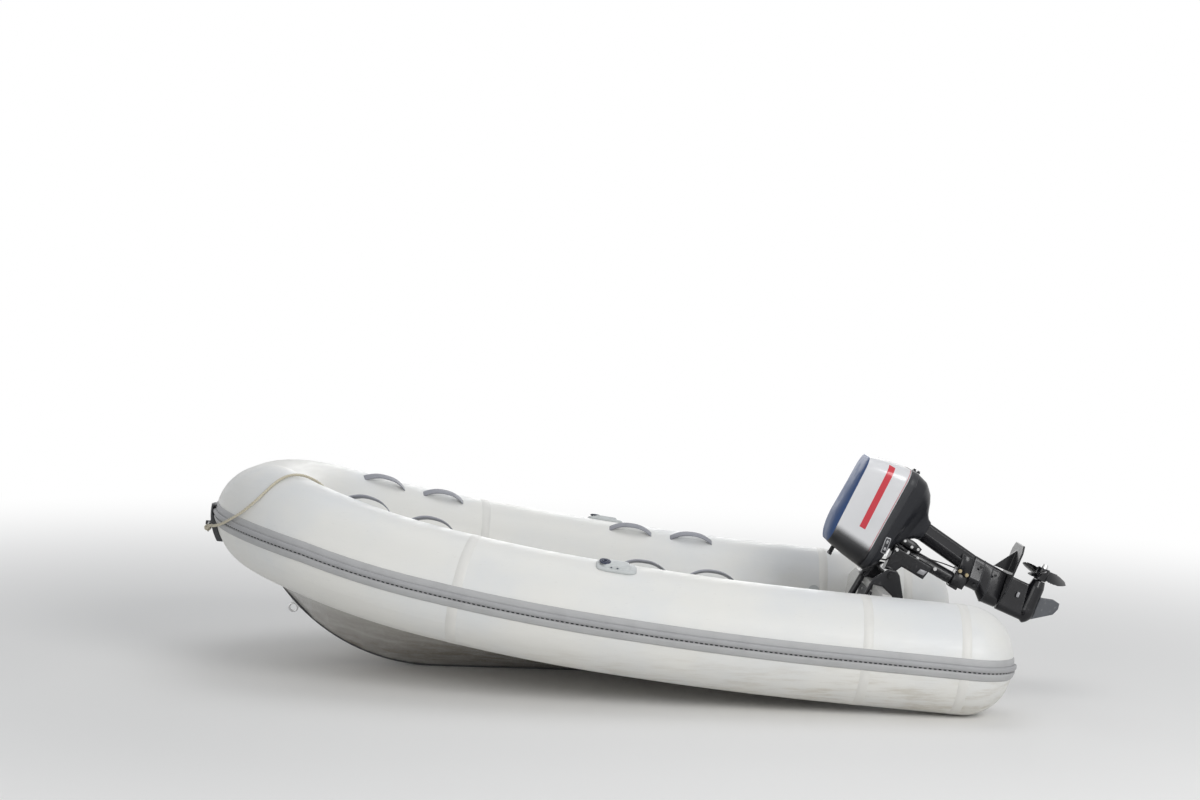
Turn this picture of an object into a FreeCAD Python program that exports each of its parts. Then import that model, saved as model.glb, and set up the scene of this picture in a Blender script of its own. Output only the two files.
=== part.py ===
import FreeCAD, Part
import math
import os
import Sketcher

# A ten-foot inflatable boat with a rigid V hull and a tilted outboard motor.
# X runs to the bow, Y to port, Z up. The origin is on the floor, on the centreline, at the foot
# of the transom. The boat stands bow-up on its keel, as it does on a beach.
# The tubes and fittings are drawn in the boat's own level frame, then pitched by trimAngle.
# The motor is drawn upright about its tilt pin, then turned by tiltAngle.

V = FreeCAD.Vector
Turn = FreeCAD.Rotation
Place = FreeCAD.Placement
AXIS_X = V(1, 0, 0)
AXIS_Y = V(0, 1, 0)
AXIS_Z = V(0, 0, 1)
ORIGIN = V(0, 0, 0)

doc = FreeCAD.newDocument("InflatableBoat")
sheet = doc.addObject("Spreadsheet::Sheet", "Sizes")

# alias, value in millimetres or degrees, meaning
sizeTable = [
    ("trimAngle", 3.8, "pitch of the level tubes above the keel line"),
    ("tiltAngle", 62.0, "motor held up, away from upright"),
    ("softGap", 0.3, "clearance between curved faces that seat on each other"),
    ("tubeRadius", 215, "radius of the buoyancy tubes"),
    ("tubeLift", 22, "bottom of the level tubes above the foot of the transom"),
    ("tubeSide", 661, "level tube axis from the centreline"),
    ("tubeOverhang", 500, "tube ends aft of the foot of the transom"),
    ("tubeEndRound", 190, "rounding of the tube ends"),
    ("shoulderForward", 570, "where the tube starts to rise"),
    ("quarterForward", 1352, "second bend of the tube"),
    ("quarterSide", 655, "second bend from the centreline"),
    ("quarterRise", 42, "second bend above the level axis"),
    ("cheekForward", 1983, "third bend of the tube"),
    ("cheekSide", 546, "third bend from the centreline"),
    ("cheekRise", 111, "third bend above the level axis"),
    ("cornerForward", 2435, "bow corner of the tube"),
    ("cornerSide", 358, "bow corner from the centreline"),
    ("cornerRise", 218, "bow corner above the level axis"),
    ("tipForward", 2506, "tube axis on the centreline at the bow"),
    ("tipRise", 204, "bow tip above the level axis"),
    ("keelRun", 1770, "straight length of the keel"),
    ("stemRise", 409, "head of the stem above the keel"),
    ("stemEyeRise", 242, "towing eye on the stem above the keel"),
    ("stripWidth", 30, "width of the keel strip"),
    ("stripThickness", 6, "thickness of the keel strip"),
    ("deckHeight", 117, "underside of the deck above the foot of the transom"),
    ("deckThickness", 8, "thickness of the deck liner"),
    ("deckRun", 1300, "flat length of the deck"),
    ("deckSlope", 0.22, "rise of the deck into the bow, for each millimetre forward"),
    ("chineAngle", 42, "where the chine meets the tube at the transom, below its side"),
    ("chineDrop", 28, "how much further round the tube the chine is at the bow"),
    ("stemHalf", 215, "half width of the hull under the bow tube"),
    ("stemShoulder", 122, "chine above the keel under the bow tube"),
    ("stemStation", 2400, "section of the hull under the bow tube"),
    ("stemEnd", 2468, "front of the stem"),
    ("transomThickness", 40, "thickness of the transom"),
    ("transomHeight", 420, "top of the transom above its foot"),
    ("transomRake", 8.1, "rake of the transom from the tubes' square"),
    ("transomCorner", 60, "drop of the transom's outer corners"),
    ("padWidth", 290, "width of the motor pads"),
    ("padHeight", 170, "height of the motor pads"),
    ("padThickness", 6, "thickness of the motor pads"),
    ("ringRadius", 17, "middle radius of the towing rings"),
    ("ringBar", 4, "radius of the towing rings' bar"),
    ("strakeHalf", 40, "half height of the rub strake"),
    ("strakeProud", 14, "how far the rub strake stands out"),
    ("handleLength", 196, "length of a grab handle"),
    ("handleWidth", 30, "width of a grab handle strap"),
    ("handleRise", 38, "grab handle above the tube"),
    ("handleStrap", 5, "thickness of a grab handle strap"),
    ("handleAngle", 24, "grab handles inboard of the tube's top"),
    ("oarForward", 1090, "oarlock pads forward of the transom"),
    ("oarAngle", 16, "oarlock pads outboard of the tube's top"),
    ("oarPadLength", 156, "length of an oarlock pad"),
    ("oarPadWidth", 86, "width of an oarlock pad"),
    ("oarPadRise", 20, "height of an oarlock pad"),
    ("oarPadCorner", 26, "corner radius of an oarlock pad"),
    ("oarHoleRadius", 7, "radius of the hole in an oarlock bush"),
    ("oarBushRadius", 13, "outside radius of an oarlock bush"),
    ("oarBushFoot", 4, "floor of the oarlock hole above the tube"),
    ("oarBushReach", 46, "oarlock bush ahead of the middle of its pad"),
    ("pivotAft", 90, "tilt pin aft of the foot of the transom"),
    ("pivotHeight", 466, "tilt pin above the foot of the transom"),
    ("pivotRadius", 9, "radius of the tilt pin"),
    ("pivotOverhang", 7, "tilt pin beyond each clamp bracket"),
    ("bracketSide", 118, "clamp brackets from the centreline"),
    ("bracketThickness", 14, "thickness of a clamp bracket"),
    ("screwRadius", 7, "radius of a clamp screw"),
    ("screwReach", 40, "length of a clamp screw"),
    ("screwDrop", 120, "clamp screws below the top of the transom"),
    ("jawGap", 14, "clamp jaw from the inner motor pad"),
    ("steerAft", 112, "steering axis behind the tilt pin, motor upright"),
    ("swivelRadius", 27, "outside radius of the swivel tube"),
    ("swivelTop", 34, "top of the swivel tube above the tilt pin"),
    ("swivelDrop", 250, "bottom of the swivel tube below the tilt pin"),
    ("steerPinRadius", 15, "radius of the steering spindle"),
    ("yokeHeight", 40, "height of the steering yokes"),
    ("runGap", 1, "running gap between parts that turn"),
    ("cowlFront", 37, "front of the cowl ahead of the tilt pin"),
    ("cowlRear", 421, "rear of the cowl behind the tilt pin"),
    ("cowlHalf", 132, "half width of the cowl"),
    ("cowlBottom", 132, "parting line above the tilt pin"),
    ("cowlTop", 310, "cowl edge above the tilt pin"),
    ("cowlCrown", 17, "crown of the cowl's lid"),
    ("cowlWall", 4, "wall of the cowl"),
    ("legFront", 184, "front of the leg behind the tilt pin, under the cowl"),
    ("legRear", 270, "rear of the leg behind the tilt pin, under the cowl"),
    ("legHalf", 40, "half width of the leg"),
    ("legDrop", 303, "bottom of the leg below the tilt pin"),
    ("lowerLean", 7.5, "lower leg and propeller shaft lean from the leg's square"),
    ("footFront", 112, "front of the lower leg behind the tilt pin"),
    ("footHalf", 46, "half width of the lower leg"),
    ("plateDrop", 456, "anti-ventilation plate below the tilt pin"),
    ("plateThickness", 8, "thickness of the anti-ventilation plate"),
    ("plateRear", 402, "rear of the anti-ventilation plate"),
    ("plateHalf", 92, "half width of the anti-ventilation plate"),
    ("shaftDrop", 593, "propeller shaft below the tilt pin"),
    ("bulletRadius", 34, "radius of the gearcase bullet"),
    ("bulletNose", 96, "nose of the bullet behind the tilt pin"),
    ("bulletRear", 290, "rear of the bullet behind the tilt pin"),
    ("skegDrop", 716, "tip of the skeg below the tilt pin"),
    ("skegThickness", 8, "thickness of the skeg"),
    ("propRadius", 110, "radius of the propeller"),
    ("hubRadius", 27, "radius of the propeller hub"),
    ("hubLength", 54, "length of the propeller hub"),
    ("bladePitchAngle", 48, "angle that the blades' twist starts from"),
    ("tillerHinge", 52, "tiller hinge ahead of the tilt pin"),
    ("tillerHeight", 80, "tiller hinge above the tilt pin"),
    ("tillerReach", 326, "tiller from its hinge to the end of its grip"),
    ("tillerRadius", 14, "radius of the tiller arm"),
    ("gripRadius", 19, "radius of the tiller grip"),
    ("gripLength", 125, "length of the tiller grip"),
    ("ropeRadius", 6, "radius of the painter"),
    ("coilOuter", 84, "outside radius of the painter's coil"),
    ("coilInner", 48, "inside radius of the painter's coil"),
    ("coilForward", 1180, "middle of the coil ahead of the transom"),
    ("coilSide", 60, "middle of the coil from the centreline"),
]
for rowNumber, (alias, amount, meaning) in enumerate(sizeTable, 1):
    sheet.set("A%d" % rowNumber, meaning)
    sheet.set("B%d" % rowNumber, "%g" % amount)
    sheet.setAlias("B%d" % rowNumber, alias)
doc.recompute()


def size(alias):
    """One driving dimension from the sheet."""
    return float(sheet.get(alias))


def measure(formula):
    """A length worked out by the sheet, such as Sizes.tubeRadius * 2."""
    return float(sheet.evalExpression(formula))


boatFrame = Place(ORIGIN, Turn(AXIS_Y, -size("trimAngle")))
pivotPoint = boatFrame.multVec(V(-size("pivotAft"), 0, size("pivotHeight")))
motorFrame = Place(pivotPoint, Turn(AXIS_Y, size("tiltAngle")))
nodes = {}


def keep(name, thing, frame=None):
    """Names a finished piece and puts it in its frame."""
    thing.Label = name
    if frame is not None:
        thing.Placement = frame
    nodes[name] = thing
    return thing


def shaped(name, shape, frame=None):
    """A piece whose surface no primitive gives."""
    thing = doc.addObject("Part::Feature", name)
    thing.Shape = shape
    return keep(name, thing, frame)


def primitive(kind, name, frame=None, **formulas):
    """A Part primitive whose sizes follow the sheet."""
    thing = doc.addObject("Part::" + kind, name)
    for field, formula in formulas.items():
        thing.setExpression(field, formula)
    if frame is not None:
        thing.Placement = frame
    return thing


def joined(name, pieces, frame=None):
    """Fuses primitives into one piece."""
    thing = doc.addObject("Part::MultiFuse", name)
    thing.Shapes = pieces
    return keep(name, thing, frame)


def padded(name, plane, outline, depth, frame=None, round_=None):
    """A sketched plate, padded evenly both ways from its plane."""
    body = doc.addObject("PartDesign::Body", name)
    sketch = body.newObject("Sketcher::SketchObject", name + "Sketch")
    carrier = [item for item in body.Origin.OriginFeatures if item.Role == plane][0]
    sketch.AttachmentSupport = [(carrier, "")]
    sketch.MapMode = "FlatFace"
    corners = [(measure(across), measure(up)) for across, up in outline]
    count = len(corners)
    for index, (across, up) in enumerate(corners):
        following = corners[(index + 1) % count]
        sketch.addGeometry(Part.LineSegment(V(across, up, 0), V(following[0], following[1], 0)))
    for index in range(count):
        sketch.addConstraint(Sketcher.Constraint("Coincident", index, 2, (index + 1) % count, 1))
    for index, formulas in enumerate(outline):
        for kind, formula, amount in zip(("DistanceX", "DistanceY"), formulas, corners[index]):
            number = sketch.addConstraint(Sketcher.Constraint(kind, -1, 1, index, 1, amount))
            sketch.setExpression("Constraints[%d]" % number, formula)
    pad = body.newObject("PartDesign::Pad", name + "Pad")
    pad.Profile = sketch
    pad.setExpression("Length", depth)
    pad.Midplane = True
    if round_ is not None:
        doc.recompute()
        normal = {"XY_Plane": AXIS_Z, "XZ_Plane": AXIS_Y, "YZ_Plane": AXIS_X}[plane]
        picked = []
        for index, edge in enumerate(pad.Shape.Edges, 1):
            along = edge.tangentAt(edge.FirstParameter)
            if abs(along.dot(normal)) > 0.99:
                picked.append("Edge%d" % index)
        fillet = body.newObject("PartDesign::Fillet", name + "Round")
        fillet.Base = (pad, picked)
        fillet.setExpression("Radius", round_)
        body.Tip = fillet
    return keep(name, body, frame)


def arcPath(points):
    """Straight runs joined by tangent arcs, each as large as its runs allow."""
    edges = []
    last = points[0]
    count = len(points)
    for index in range(1, count - 1):
        before, corner, after = points[index - 1], points[index], points[index + 1]
        shareBefore = 0.5 if index > 1 else 0.999
        shareAfter = 0.5 if index < count - 2 else 0.999
        reach = min((before - corner).Length * shareBefore, (after - corner).Length * shareAfter)
        back = (before - corner).normalize()
        ahead = (after - corner).normalize()
        half = (math.pi - back.getAngle(ahead)) / 2
        radius = reach / math.tan(half)
        start = corner + back * reach
        end = corner + ahead * reach
        inward = (back + ahead).normalize()
        middle = corner + inward * (radius / math.cos(half) - radius)
        if (start - last).Length > 0.001:
            edges.append(Part.LineSegment(last, start).toShape())
        edges.append(Part.Arc(start, middle, end).toShape())
        last = end
    if (points[-1] - last).Length > 0.001:
        edges.append(Part.LineSegment(last, points[-1]).toShape())
    return Part.Wire(edges)


def swept(path, section, upright=False):
    """A solid swept along a path."""
    shell = Part.BRepOffsetAPI.MakePipeShell(path)
    if upright:
        shell.setBiNormalMode(AXIS_Z)
    shell.add(section)
    shell.build()
    shell.makeSolid()
    return shell.shape()


def pipe(points, radius):
    """A round bar along a route."""
    start = (points[1] - points[0]).normalize()
    return swept(arcPath(points), Part.Wire(Part.makeCircle(radius, points[0], start)))


def outlineFace(points):
    """A flat face with straight edges."""
    return Part.Face(Part.makePolygon(points + [points[0]]))


def mirrored(shape):
    """The same shape on the other side of the centreline."""
    return shape.mirror(ORIGIN, AXIS_Y)


# Buoyancy tubes: three chambers on one path
tubeAxis = size("tubeRadius") + size("tubeLift")
tubeRows = [
    # forward, side, height
    (-size("tubeOverhang"), size("tubeSide"), tubeAxis),
    (size("shoulderForward"), size("tubeSide"), tubeAxis),
    (size("quarterForward"), size("quarterSide"), tubeAxis + size("quarterRise")),
    (size("cheekForward"), size("cheekSide"), tubeAxis + size("cheekRise")),
    (size("cornerForward"), size("cornerSide"), tubeAxis + size("cornerRise")),
    (size("tipForward"), 0, tubeAxis + size("tipRise")),
]
tubePoints = [V(*row) for row in tubeRows]
bulkhead = (tubePoints[2] + tubePoints[3]) * 0.5
crossing = tubePoints[5] + (tubePoints[5] - tubePoints[4]).normalize() * 60
sidePath = tubePoints[:3] + [bulkhead]
bowPath = [bulkhead, tubePoints[3], tubePoints[4], crossing]
portHalf = Part.makeBox(4000, 1200, 1400, V(-1000, 0, -200))


def sideTube(radius, round_):
    """The straight chamber of one side, with a domed end."""
    chamber = pipe(sidePath, radius)
    ends = [e for e in chamber.Edges if e.BoundBox.XMax < -size("tubeOverhang") + 1]
    return chamber.makeFillet(round_, ends)


def bowTube(radius):
    """The bow chamber, mitred on the centreline."""
    half = pipe(bowPath, radius).common(portHalf)
    return half.fuse(mirrored(half)).removeSplitter()


portTube = sideTube(size("tubeRadius"), size("tubeEndRound"))
shaped("tube_port", portTube, boatFrame)
shaped("tube_starboard", mirrored(portTube), boatFrame)
bowShape = bowTube(size("tubeRadius"))
shaped("tube_bow", bowShape, boatFrame)

# What is cut back to seat against the tubes is cut by them a hair larger
seatRadius = size("tubeRadius") + size("softGap")
sideSeat = sideTube(seatRadius, size("tubeEndRound"))
seatTool = Part.makeCompound([sideSeat, mirrored(sideSeat), bowTube(seatRadius)])


def tubePlace(forward):
    """Point on the tube's axis and its direction, at a distance from the transom."""
    edges = Part.Wire(arcPath(sidePath).Edges + arcPath(bowPath).Edges).Edges
    for edge in edges:
        low = edge.FirstParameter
        high = edge.LastParameter
        first = edge.valueAt(low)
        last = edge.valueAt(high)
        if min(first.x, last.x) - 0.001 <= forward <= max(first.x, last.x) + 0.001:
            for step in range(40):
                middle = (low + high) / 2
                if (edge.valueAt(middle).x < forward) == (first.x < last.x):
                    low = middle
                else:
                    high = middle
            along = edge.tangentAt(low)
            return edge.valueAt(low), along if along.x > 0 else along * -1
    return tubePoints[-1], AXIS_Y


def tubeFrame(forward, angle, radius):
    """Frame on the tube's skin: X along the tube, Z out of it, angle outboard of the top."""
    middle, along = tubePlace(forward)
    side = AXIS_Z.cross(along).normalize()
    top = along.cross(side).normalize()
    lean = math.radians(angle)
    out = top * math.cos(lean) + side * math.sin(lean)
    across = out.cross(along)
    return Place(middle + out * radius, Turn(along, across, out, "ZXY"))


# Hull: a V bottom that deepens forward and turns up into the stem
stemRun = size("stemEnd") - size("keelRun")
stemRadius = (stemRun ** 2 + size("stemRise") ** 2) / (2 * size("stemRise"))


def keelHeight(forward):
    """Underside of the keel strip: a straight run, then an arc up to the stem's head."""
    beyond = forward - size("keelRun")
    if beyond <= 0:
        return 0.0
    return stemRadius - math.sqrt(stemRadius ** 2 - beyond ** 2)


def deckLevel(forward):
    """Height of the deck's underside in the standing boat, with its rise into the bow."""
    level = boatFrame.multVec(V(forward, 0, size("deckHeight"))).z
    beyond = max(0, forward - size("deckRun"))
    return level + size("deckSlope") * beyond


def chineAt(forward, depth):
    """Chine on the port tube, sunk into it by depth so that the tube trims it."""
    centre, along = tubePlace(forward)
    centre = boatFrame.multVec(centre)
    share = min(1, forward / size("cheekForward"))
    angle = math.radians(size("chineAngle") + size("chineDrop") * share)
    reach = size("tubeRadius") - depth
    side = centre.y - reach * math.cos(angle) / along.x
    return V(forward, side, centre.z - reach * math.sin(angle))


def hullSection(forward, chine, high):
    """One closed section: keel flat, chines and deck edges inside the tubes."""
    low = keelHeight(forward) + size("stripThickness")
    flat = size("stripWidth") / 2
    half = [(flat, low), (chine.y, chine.z), (chine.y, high)]
    points = [V(forward, y, z) for y, z in half] + [V(forward, -y, z) for y, z in reversed(half)]
    return Part.makePolygon(points + [points[0]])


hullStations = [0, 500, 1000, 1300, 1500, 1770, 1870, 1960, 2050, 2130, 2200, 2270]
sections = [hullSection(station, chineAt(station, 20), deckLevel(station)) for station in hullStations]
for station, share in ((size("stemStation"), 1), (size("stemStation") + 36, 0.7), (size("stemEnd"), 0.3)):
    shoulder = keelHeight(station) + size("stemShoulder") * share
    chine = V(station, size("stemHalf") * share, shoulder)
    sections.append(hullSection(station, chine, shoulder + size("stemShoulder") * 0.5))
hullRough = Part.makeLoft(sections, True, True)
seatInPlace = seatTool.copy()
seatInPlace.Placement = boatFrame

# Transom: a raked board between the tubes, with pads for the motor
transomFrame = Place(ORIGIN, Turn(AXIS_Y, -size("trimAngle") - size("transomRake")))
aftOfTransom = Part.makeBox(900, 2400, 1400, V(-900 + size("transomThickness"), -1200, -400))
aftOfTransom.Placement = transomFrame
hullShape = hullRough.cut(seatInPlace).cut(aftOfTransom)
shaped("hull_shell", hullShape)

deckPlates = []
for section in sections:
    corners = [vertex.Point for vertex in section.Vertexes]
    edge = max(corners, key=lambda corner: corner.y + corner.z)
    up = V(0, 0, size("deckThickness"))
    sunk = V(0, 0, -4)
    across = V(edge.x, -edge.y, edge.z)
    deckPlates.append(Part.makePolygon([edge + sunk, edge + up, across + up, across + sunk, edge + sunk]))
deckRough = Part.makeLoft(deckPlates, True, True)
deckShape = deckRough.cut(hullRough).cut(seatInPlace).cut(aftOfTransom)
deckShape = max(deckShape.Solids, key=lambda solid: solid.Volume)
shaped("deck_liner", deckShape)

stemTop = size("stemEnd")
keelTop = keelHeight(stemTop)
stemMiddle = size("keelRun") + (stemTop - size("keelRun")) / 2
stripFoot = V(-12, 0, 0)
stripEdges = [
    Part.LineSegment(stripFoot, V(size("keelRun"), 0, 0)),
    Part.Arc(V(size("keelRun"), 0, 0), V(stemMiddle, 0, keelHeight(stemMiddle)), V(stemTop, 0, keelTop)),
    Part.LineSegment(V(stemTop, 0, keelTop), V(stemTop, 0, keelTop + 60)),
    Part.Arc(V(stemTop, 0, keelTop + 60), V(stemMiddle, 0, keelHeight(stemMiddle) + 60),
             V(size("keelRun"), 0, 60)),
    Part.LineSegment(V(size("keelRun"), 0, 60), stripFoot + V(0, 0, 60)),
    Part.LineSegment(stripFoot + V(0, 0, 60), stripFoot),
]
stripFace = Part.Face(Part.Wire([edge.toShape() for edge in stripEdges]))
stripFace.translate(V(0, -size("stripWidth") / 2, 0))
stripBlank = stripFace.extrude(V(0, size("stripWidth"), 0))
aboveFoot = Part.makeBox(900, 400, 900, V(-900 + size("transomThickness"), -200, size("stripThickness")))
aboveFoot.Placement = transomFrame
stripShape = stripBlank.cut(hullRough).cut(seatInPlace).cut(aboveFoot)
stripShape = max(stripShape.Solids, key=lambda solid: solid.BoundBox.XLength)
shaped("keel_strip", stripShape)

chineFoot = chineAt(0, 20)
transomBlank = padded("transomBlank", "YZ_Plane", [
    ("-Sizes.stripWidth / 2", "Sizes.stripThickness"),
    ("Sizes.stripWidth / 2", "Sizes.stripThickness"),
    ("%g" % chineFoot.y, "%g" % chineFoot.z),
    ("%g" % chineFoot.y, "Sizes.transomHeight - Sizes.transomCorner"),
    ("%g" % (chineFoot.y - 150), "Sizes.transomHeight"),
    ("%g" % (150 - chineFoot.y), "Sizes.transomHeight"),
    ("%g" % -chineFoot.y, "Sizes.transomHeight - Sizes.transomCorner"),
    ("%g" % -chineFoot.y, "%g" % chineFoot.z),
], "Sizes.transomThickness")
doc.recompute()
transomShape = transomBlank.Shape.copy()
transomShape.Placement = transomFrame.multiply(Place(V(size("transomThickness") / 2, 0, 0), Turn()))
shaped("transom_board", transomShape.cut(seatInPlace))
del nodes["transomBlank"]


def onTransom(away, side, up):
    """A place measured from the foot of the transom's aft face, along the board."""
    return transomFrame.multiply(Place(V(away, side, up), Turn()))


padRows = [
    # name, away from the transom's aft face, below its top
    ("motor_pad_outer", -size("padThickness"), 6),
    ("motor_pad_inner", size("transomThickness"), 30),
]
for name, away, below in padRows:
    padLow = size("transomHeight") - size("padHeight") - below
    plate = primitive("Box", name, Length="Sizes.padThickness", Width="Sizes.padWidth", Height="Sizes.padHeight")
    keep(name, plate, onTransom(away, -size("padWidth") / 2, padLow))

eyes = []
for side in (1, -1):
    plate = Part.makeBox(4, 24, 62, V(-4, side * 330 - 12, 209))
    hoop = Part.makeTorus(size("ringRadius"), size("ringBar"), V(-4, side * 330, 240), AXIS_Y)
    front = Part.makeBox(60, 60, 60, V(-4, side * 330 - 30, 210))
    eyes.append(plate.fuse(hoop.cut(front)).removeSplitter())
shaped("stern_tow_eyes", Part.makeCompound(eyes), transomFrame)

drain = Part.makeCylinder(17, 5, V(-5, 60, 45), AXIS_X).fuse(Part.makeBox(9, 26, 6, V(-14, 47, 42)))
shaped("drain_plug", drain.removeSplitter(), transomFrame)

# Rub strake: a moulded band along the widest part of the tubes and round their ends
def strakeSection(centre, side, up):
    """Strake profile out from a tube's centre: flange, bead, groove and lip."""
    inner = size("tubeRadius") + size("softGap")
    high = size("strakeHalf")
    proud = inner + size("strakeProud")
    reach = math.sqrt(inner ** 2 - high ** 2)
    rows = [
        # out, height
        (reach + 3, high), (reach + 5, high - 16), (proud, high - 20), (proud, high - 52),
        (proud - 7, high - 54), (proud - 7, high - 59), (proud - 3, high - 61), (reach + 3, -high),
    ]
    corners = [centre + side * out + up * height for out, height in rows]
    top = centre + side * reach + up * high
    bottom = centre + side * reach + up * -high
    edges = [Part.Arc(bottom, centre + side * inner, top).toShape()]
    loop = [top] + corners + [bottom]
    for first, second in zip(loop, loop[1:]):
        edges.append(Part.LineSegment(first, second).toShape())
    return Part.Wire(edges)


strakeStart = V(size("tubeEndRound") - size("tubeOverhang"), size("tubeSide"), tubeAxis)
strakePath = arcPath([strakeStart] + tubePoints[1:5] + [crossing])
strakeRun = swept(strakePath, strakeSection(strakeStart, AXIS_Y, AXIS_Z), True)
endCentre = strakeStart + AXIS_Y * (size("tubeRadius") - size("tubeEndRound"))
endFace = Part.Face(strakeSection(strakeStart, AXIS_Y, AXIS_Z))
strakeEnd = endFace.revolve(endCentre, AXIS_Z, 78).cut(sideSeat)
strakeHalf = strakeRun.common(portHalf).fuse(strakeEnd)
strakeShape = strakeHalf.fuse(mirrored(strakeHalf)).removeSplitter()
shaped("rub_strake", strakeShape, boatFrame)

# Grab handles: an arched strap between two patches, four on each tube
handleForwards = [2132, 1852, 979, 702]


def tubeShell(inner, outer, length):
    """A short piece of tube skin in a tube frame, its top at the frame's origin."""
    skin = Part.makeCylinder(outer, length, V(-length / 2, 0, -size("tubeRadius")), AXIS_X)
    return skin.cut(Part.makeCylinder(inner, length, V(-length / 2, 0, -size("tubeRadius")), AXIS_X))


def handleStrap():
    """The arched strap of a handle in its tube frame."""
    half = size("handleLength") / 2
    strap = size("handleStrap")
    rise = size("handleRise")
    foot = 3
    outer = Part.Arc(V(-half + 8, 0, foot), V(0, 0, rise), V(half - 8, 0, foot)).toShape()
    inner = Part.Arc(V(half - 18, 0, foot), V(0, 0, rise - strap), V(18 - half, 0, foot)).toShape()
    ends = [Part.LineSegment(V(half - 8, 0, foot), V(half - 18, 0, foot)).toShape()]
    ends.append(Part.LineSegment(V(18 - half, 0, foot), V(8 - half, 0, foot)).toShape())
    arch = Part.Face(Part.Wire([outer, ends[0], inner, ends[1]]))
    arch.translate(V(0, -size("handleWidth") / 2, 0))
    return arch.extrude(V(0, size("handleWidth"), 0))


def handlePatch():
    """A round patch that holds one end of a strap, in its own tube frame."""
    skin = tubeShell(size("tubeRadius") + 0.6, size("tubeRadius") + 5, 80)
    return Part.makeCylinder(26, 30, V(0, 0, -12), AXIS_Z).common(skin)


strapBlank = handleStrap()
patchBlank = handlePatch()
patchReach = size("handleLength") / 2 - 16
handles = []
for forward in handleForwards:
    along = tubePlace(forward)[1]
    handle = strapBlank.copy()
    handle.Placement = tubeFrame(forward, -size("handleAngle"), size("tubeRadius"))
    for end in (1, -1):
        patch = patchBlank.copy()
        foot = forward + end * patchReach * along.x
        patch.Placement = tubeFrame(foot, -size("handleAngle"), size("tubeRadius"))
        handle = handle.fuse(patch)
    handles.append(handle.removeSplitter())
portHandles = Part.makeCompound(handles)
shaped("grab_handles_port", portHandles, boatFrame)
shaped("grab_handles_starboard", mirrored(portHandles), boatFrame)

# Oarlock pads: a rounded oblong on the tube with a bushed hole for the oarlock near its front
padLong = size("oarPadLength")
padWide = size("oarPadWidth")
padTop = size("oarPadRise")
holeAt = V(size("oarBushReach"), 0, 0)
padSkin = tubeShell(size("tubeRadius") + size("softGap"), size("tubeRadius") + padTop, padLong + 20)
padBlank = Part.makeBox(padLong, padWide, 90, V(-padLong / 2, -padWide / 2, -50))
upright = [edge for edge in padBlank.Edges if edge.BoundBox.ZLength > 80]
padBlank = padBlank.makeFillet(size("oarPadCorner"), upright)
oarPad = padBlank.common(padSkin)
bushFoot = size("oarBushFoot")
bushTop = padTop + 3
bushSeat = Part.makeCylinder(size("oarBushRadius") + size("softGap"), 90, holeAt, AXIS_Z)
oarPad = oarPad.cut(bushSeat).removeSplitter()
oarBush = Part.makeCylinder(size("oarBushRadius"), bushTop - 1.5, holeAt + V(0, 0, 1.5), AXIS_Z)
oarBush = oarBush.cut(Part.makeCylinder(size("oarHoleRadius"), 60, holeAt + V(0, 0, bushFoot), AXIS_Z))
oarFrame = tubeFrame(size("oarForward"), size("oarAngle"), size("tubeRadius"))
for name, shape in (("oarlock_pads", oarPad), ("oarlock_bushes", oarBush)):
    one = shape.copy()
    one.Placement = oarFrame
    shaped(name, Part.makeCompound([one, mirrored(one)]), boatFrame)

# Valves: one low inside each chamber
valve = Part.makeCylinder(24, 7, V(0, 0, -2), AXIS_Z).fuse(Part.makeCylinder(15, 8, V(0, 0, 5), AXIS_Z))
valve = valve.cut(Part.makeCylinder(seatRadius, 120, V(-60, 0, -size("tubeRadius")), AXIS_X)).removeSplitter()
valves = []
for forward, angle in ((140, -76), (1690, -80)):
    one = valve.copy()
    one.Placement = tubeFrame(forward, angle, size("tubeRadius") + 0.4)
    valves.append(one)
valves.append(mirrored(valves[0]))
shaped("inflation_valves", Part.makeCompound(valves), boatFrame)

# Bow fitting: a moulded nose guard across the strake, with a lashing ring
noseWide = 76
noseTall = 152
noseLow = tubeAxis + size("tipRise") - 122
noseCorner = V(size("tipForward"), -noseWide / 2, noseLow)
noseBox = Part.makeBox(size("tubeRadius") + 85, noseWide, noseTall, noseCorner)
nosePad = bowTube(size("tubeRadius") + 22).common(noseBox).cut(bowTube(size("tubeRadius") + size("softGap")))
nosePad = nosePad.cut(strakeShape)
nosePad = max(nosePad.Solids, key=lambda solid: solid.Volume)
ringMiddle = size("ringRadius")
ringBar = size("ringBar")
ringDrop = 70
ringOut = math.sqrt(size("tubeRadius") ** 2 - ringDrop ** 2) + 41
ringCentre = V(size("tipForward") + ringOut, 0, tubeAxis + size("tipRise") - ringDrop)
ringTop = ringCentre + V(0, 0, ringMiddle)
ringLug = Part.makeBox(38, 8, 18, ringTop + V(-24, -4, -9))
lugHole = Part.makeCylinder(ringBar + 1, 20, ringTop + V(0, -10, 0), AXIS_Y)
shaped("bow_guard", nosePad.fuse(ringLug).cut(lugHole).removeSplitter(), boatFrame)
shaped("bow_ring", Part.makeTorus(ringMiddle, ringBar, ringCentre, AXIS_X), boatFrame)

# Knot of the painter, tied round the ring's port side
knotStart = ringCentre + V(0, 10, 0)
knot = Part.makeCylinder(10, 26, knotStart, AXIS_Y)
knot = knot.makeFillet(3, [edge for edge in knot.Edges if edge.BoundBox.YLength < 1])
knot = knot.cut(Part.makeTorus(ringMiddle, ringBar + size("softGap"), ringCentre, AXIS_X))
shaped("painter_knot", knot, boatFrame)

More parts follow.
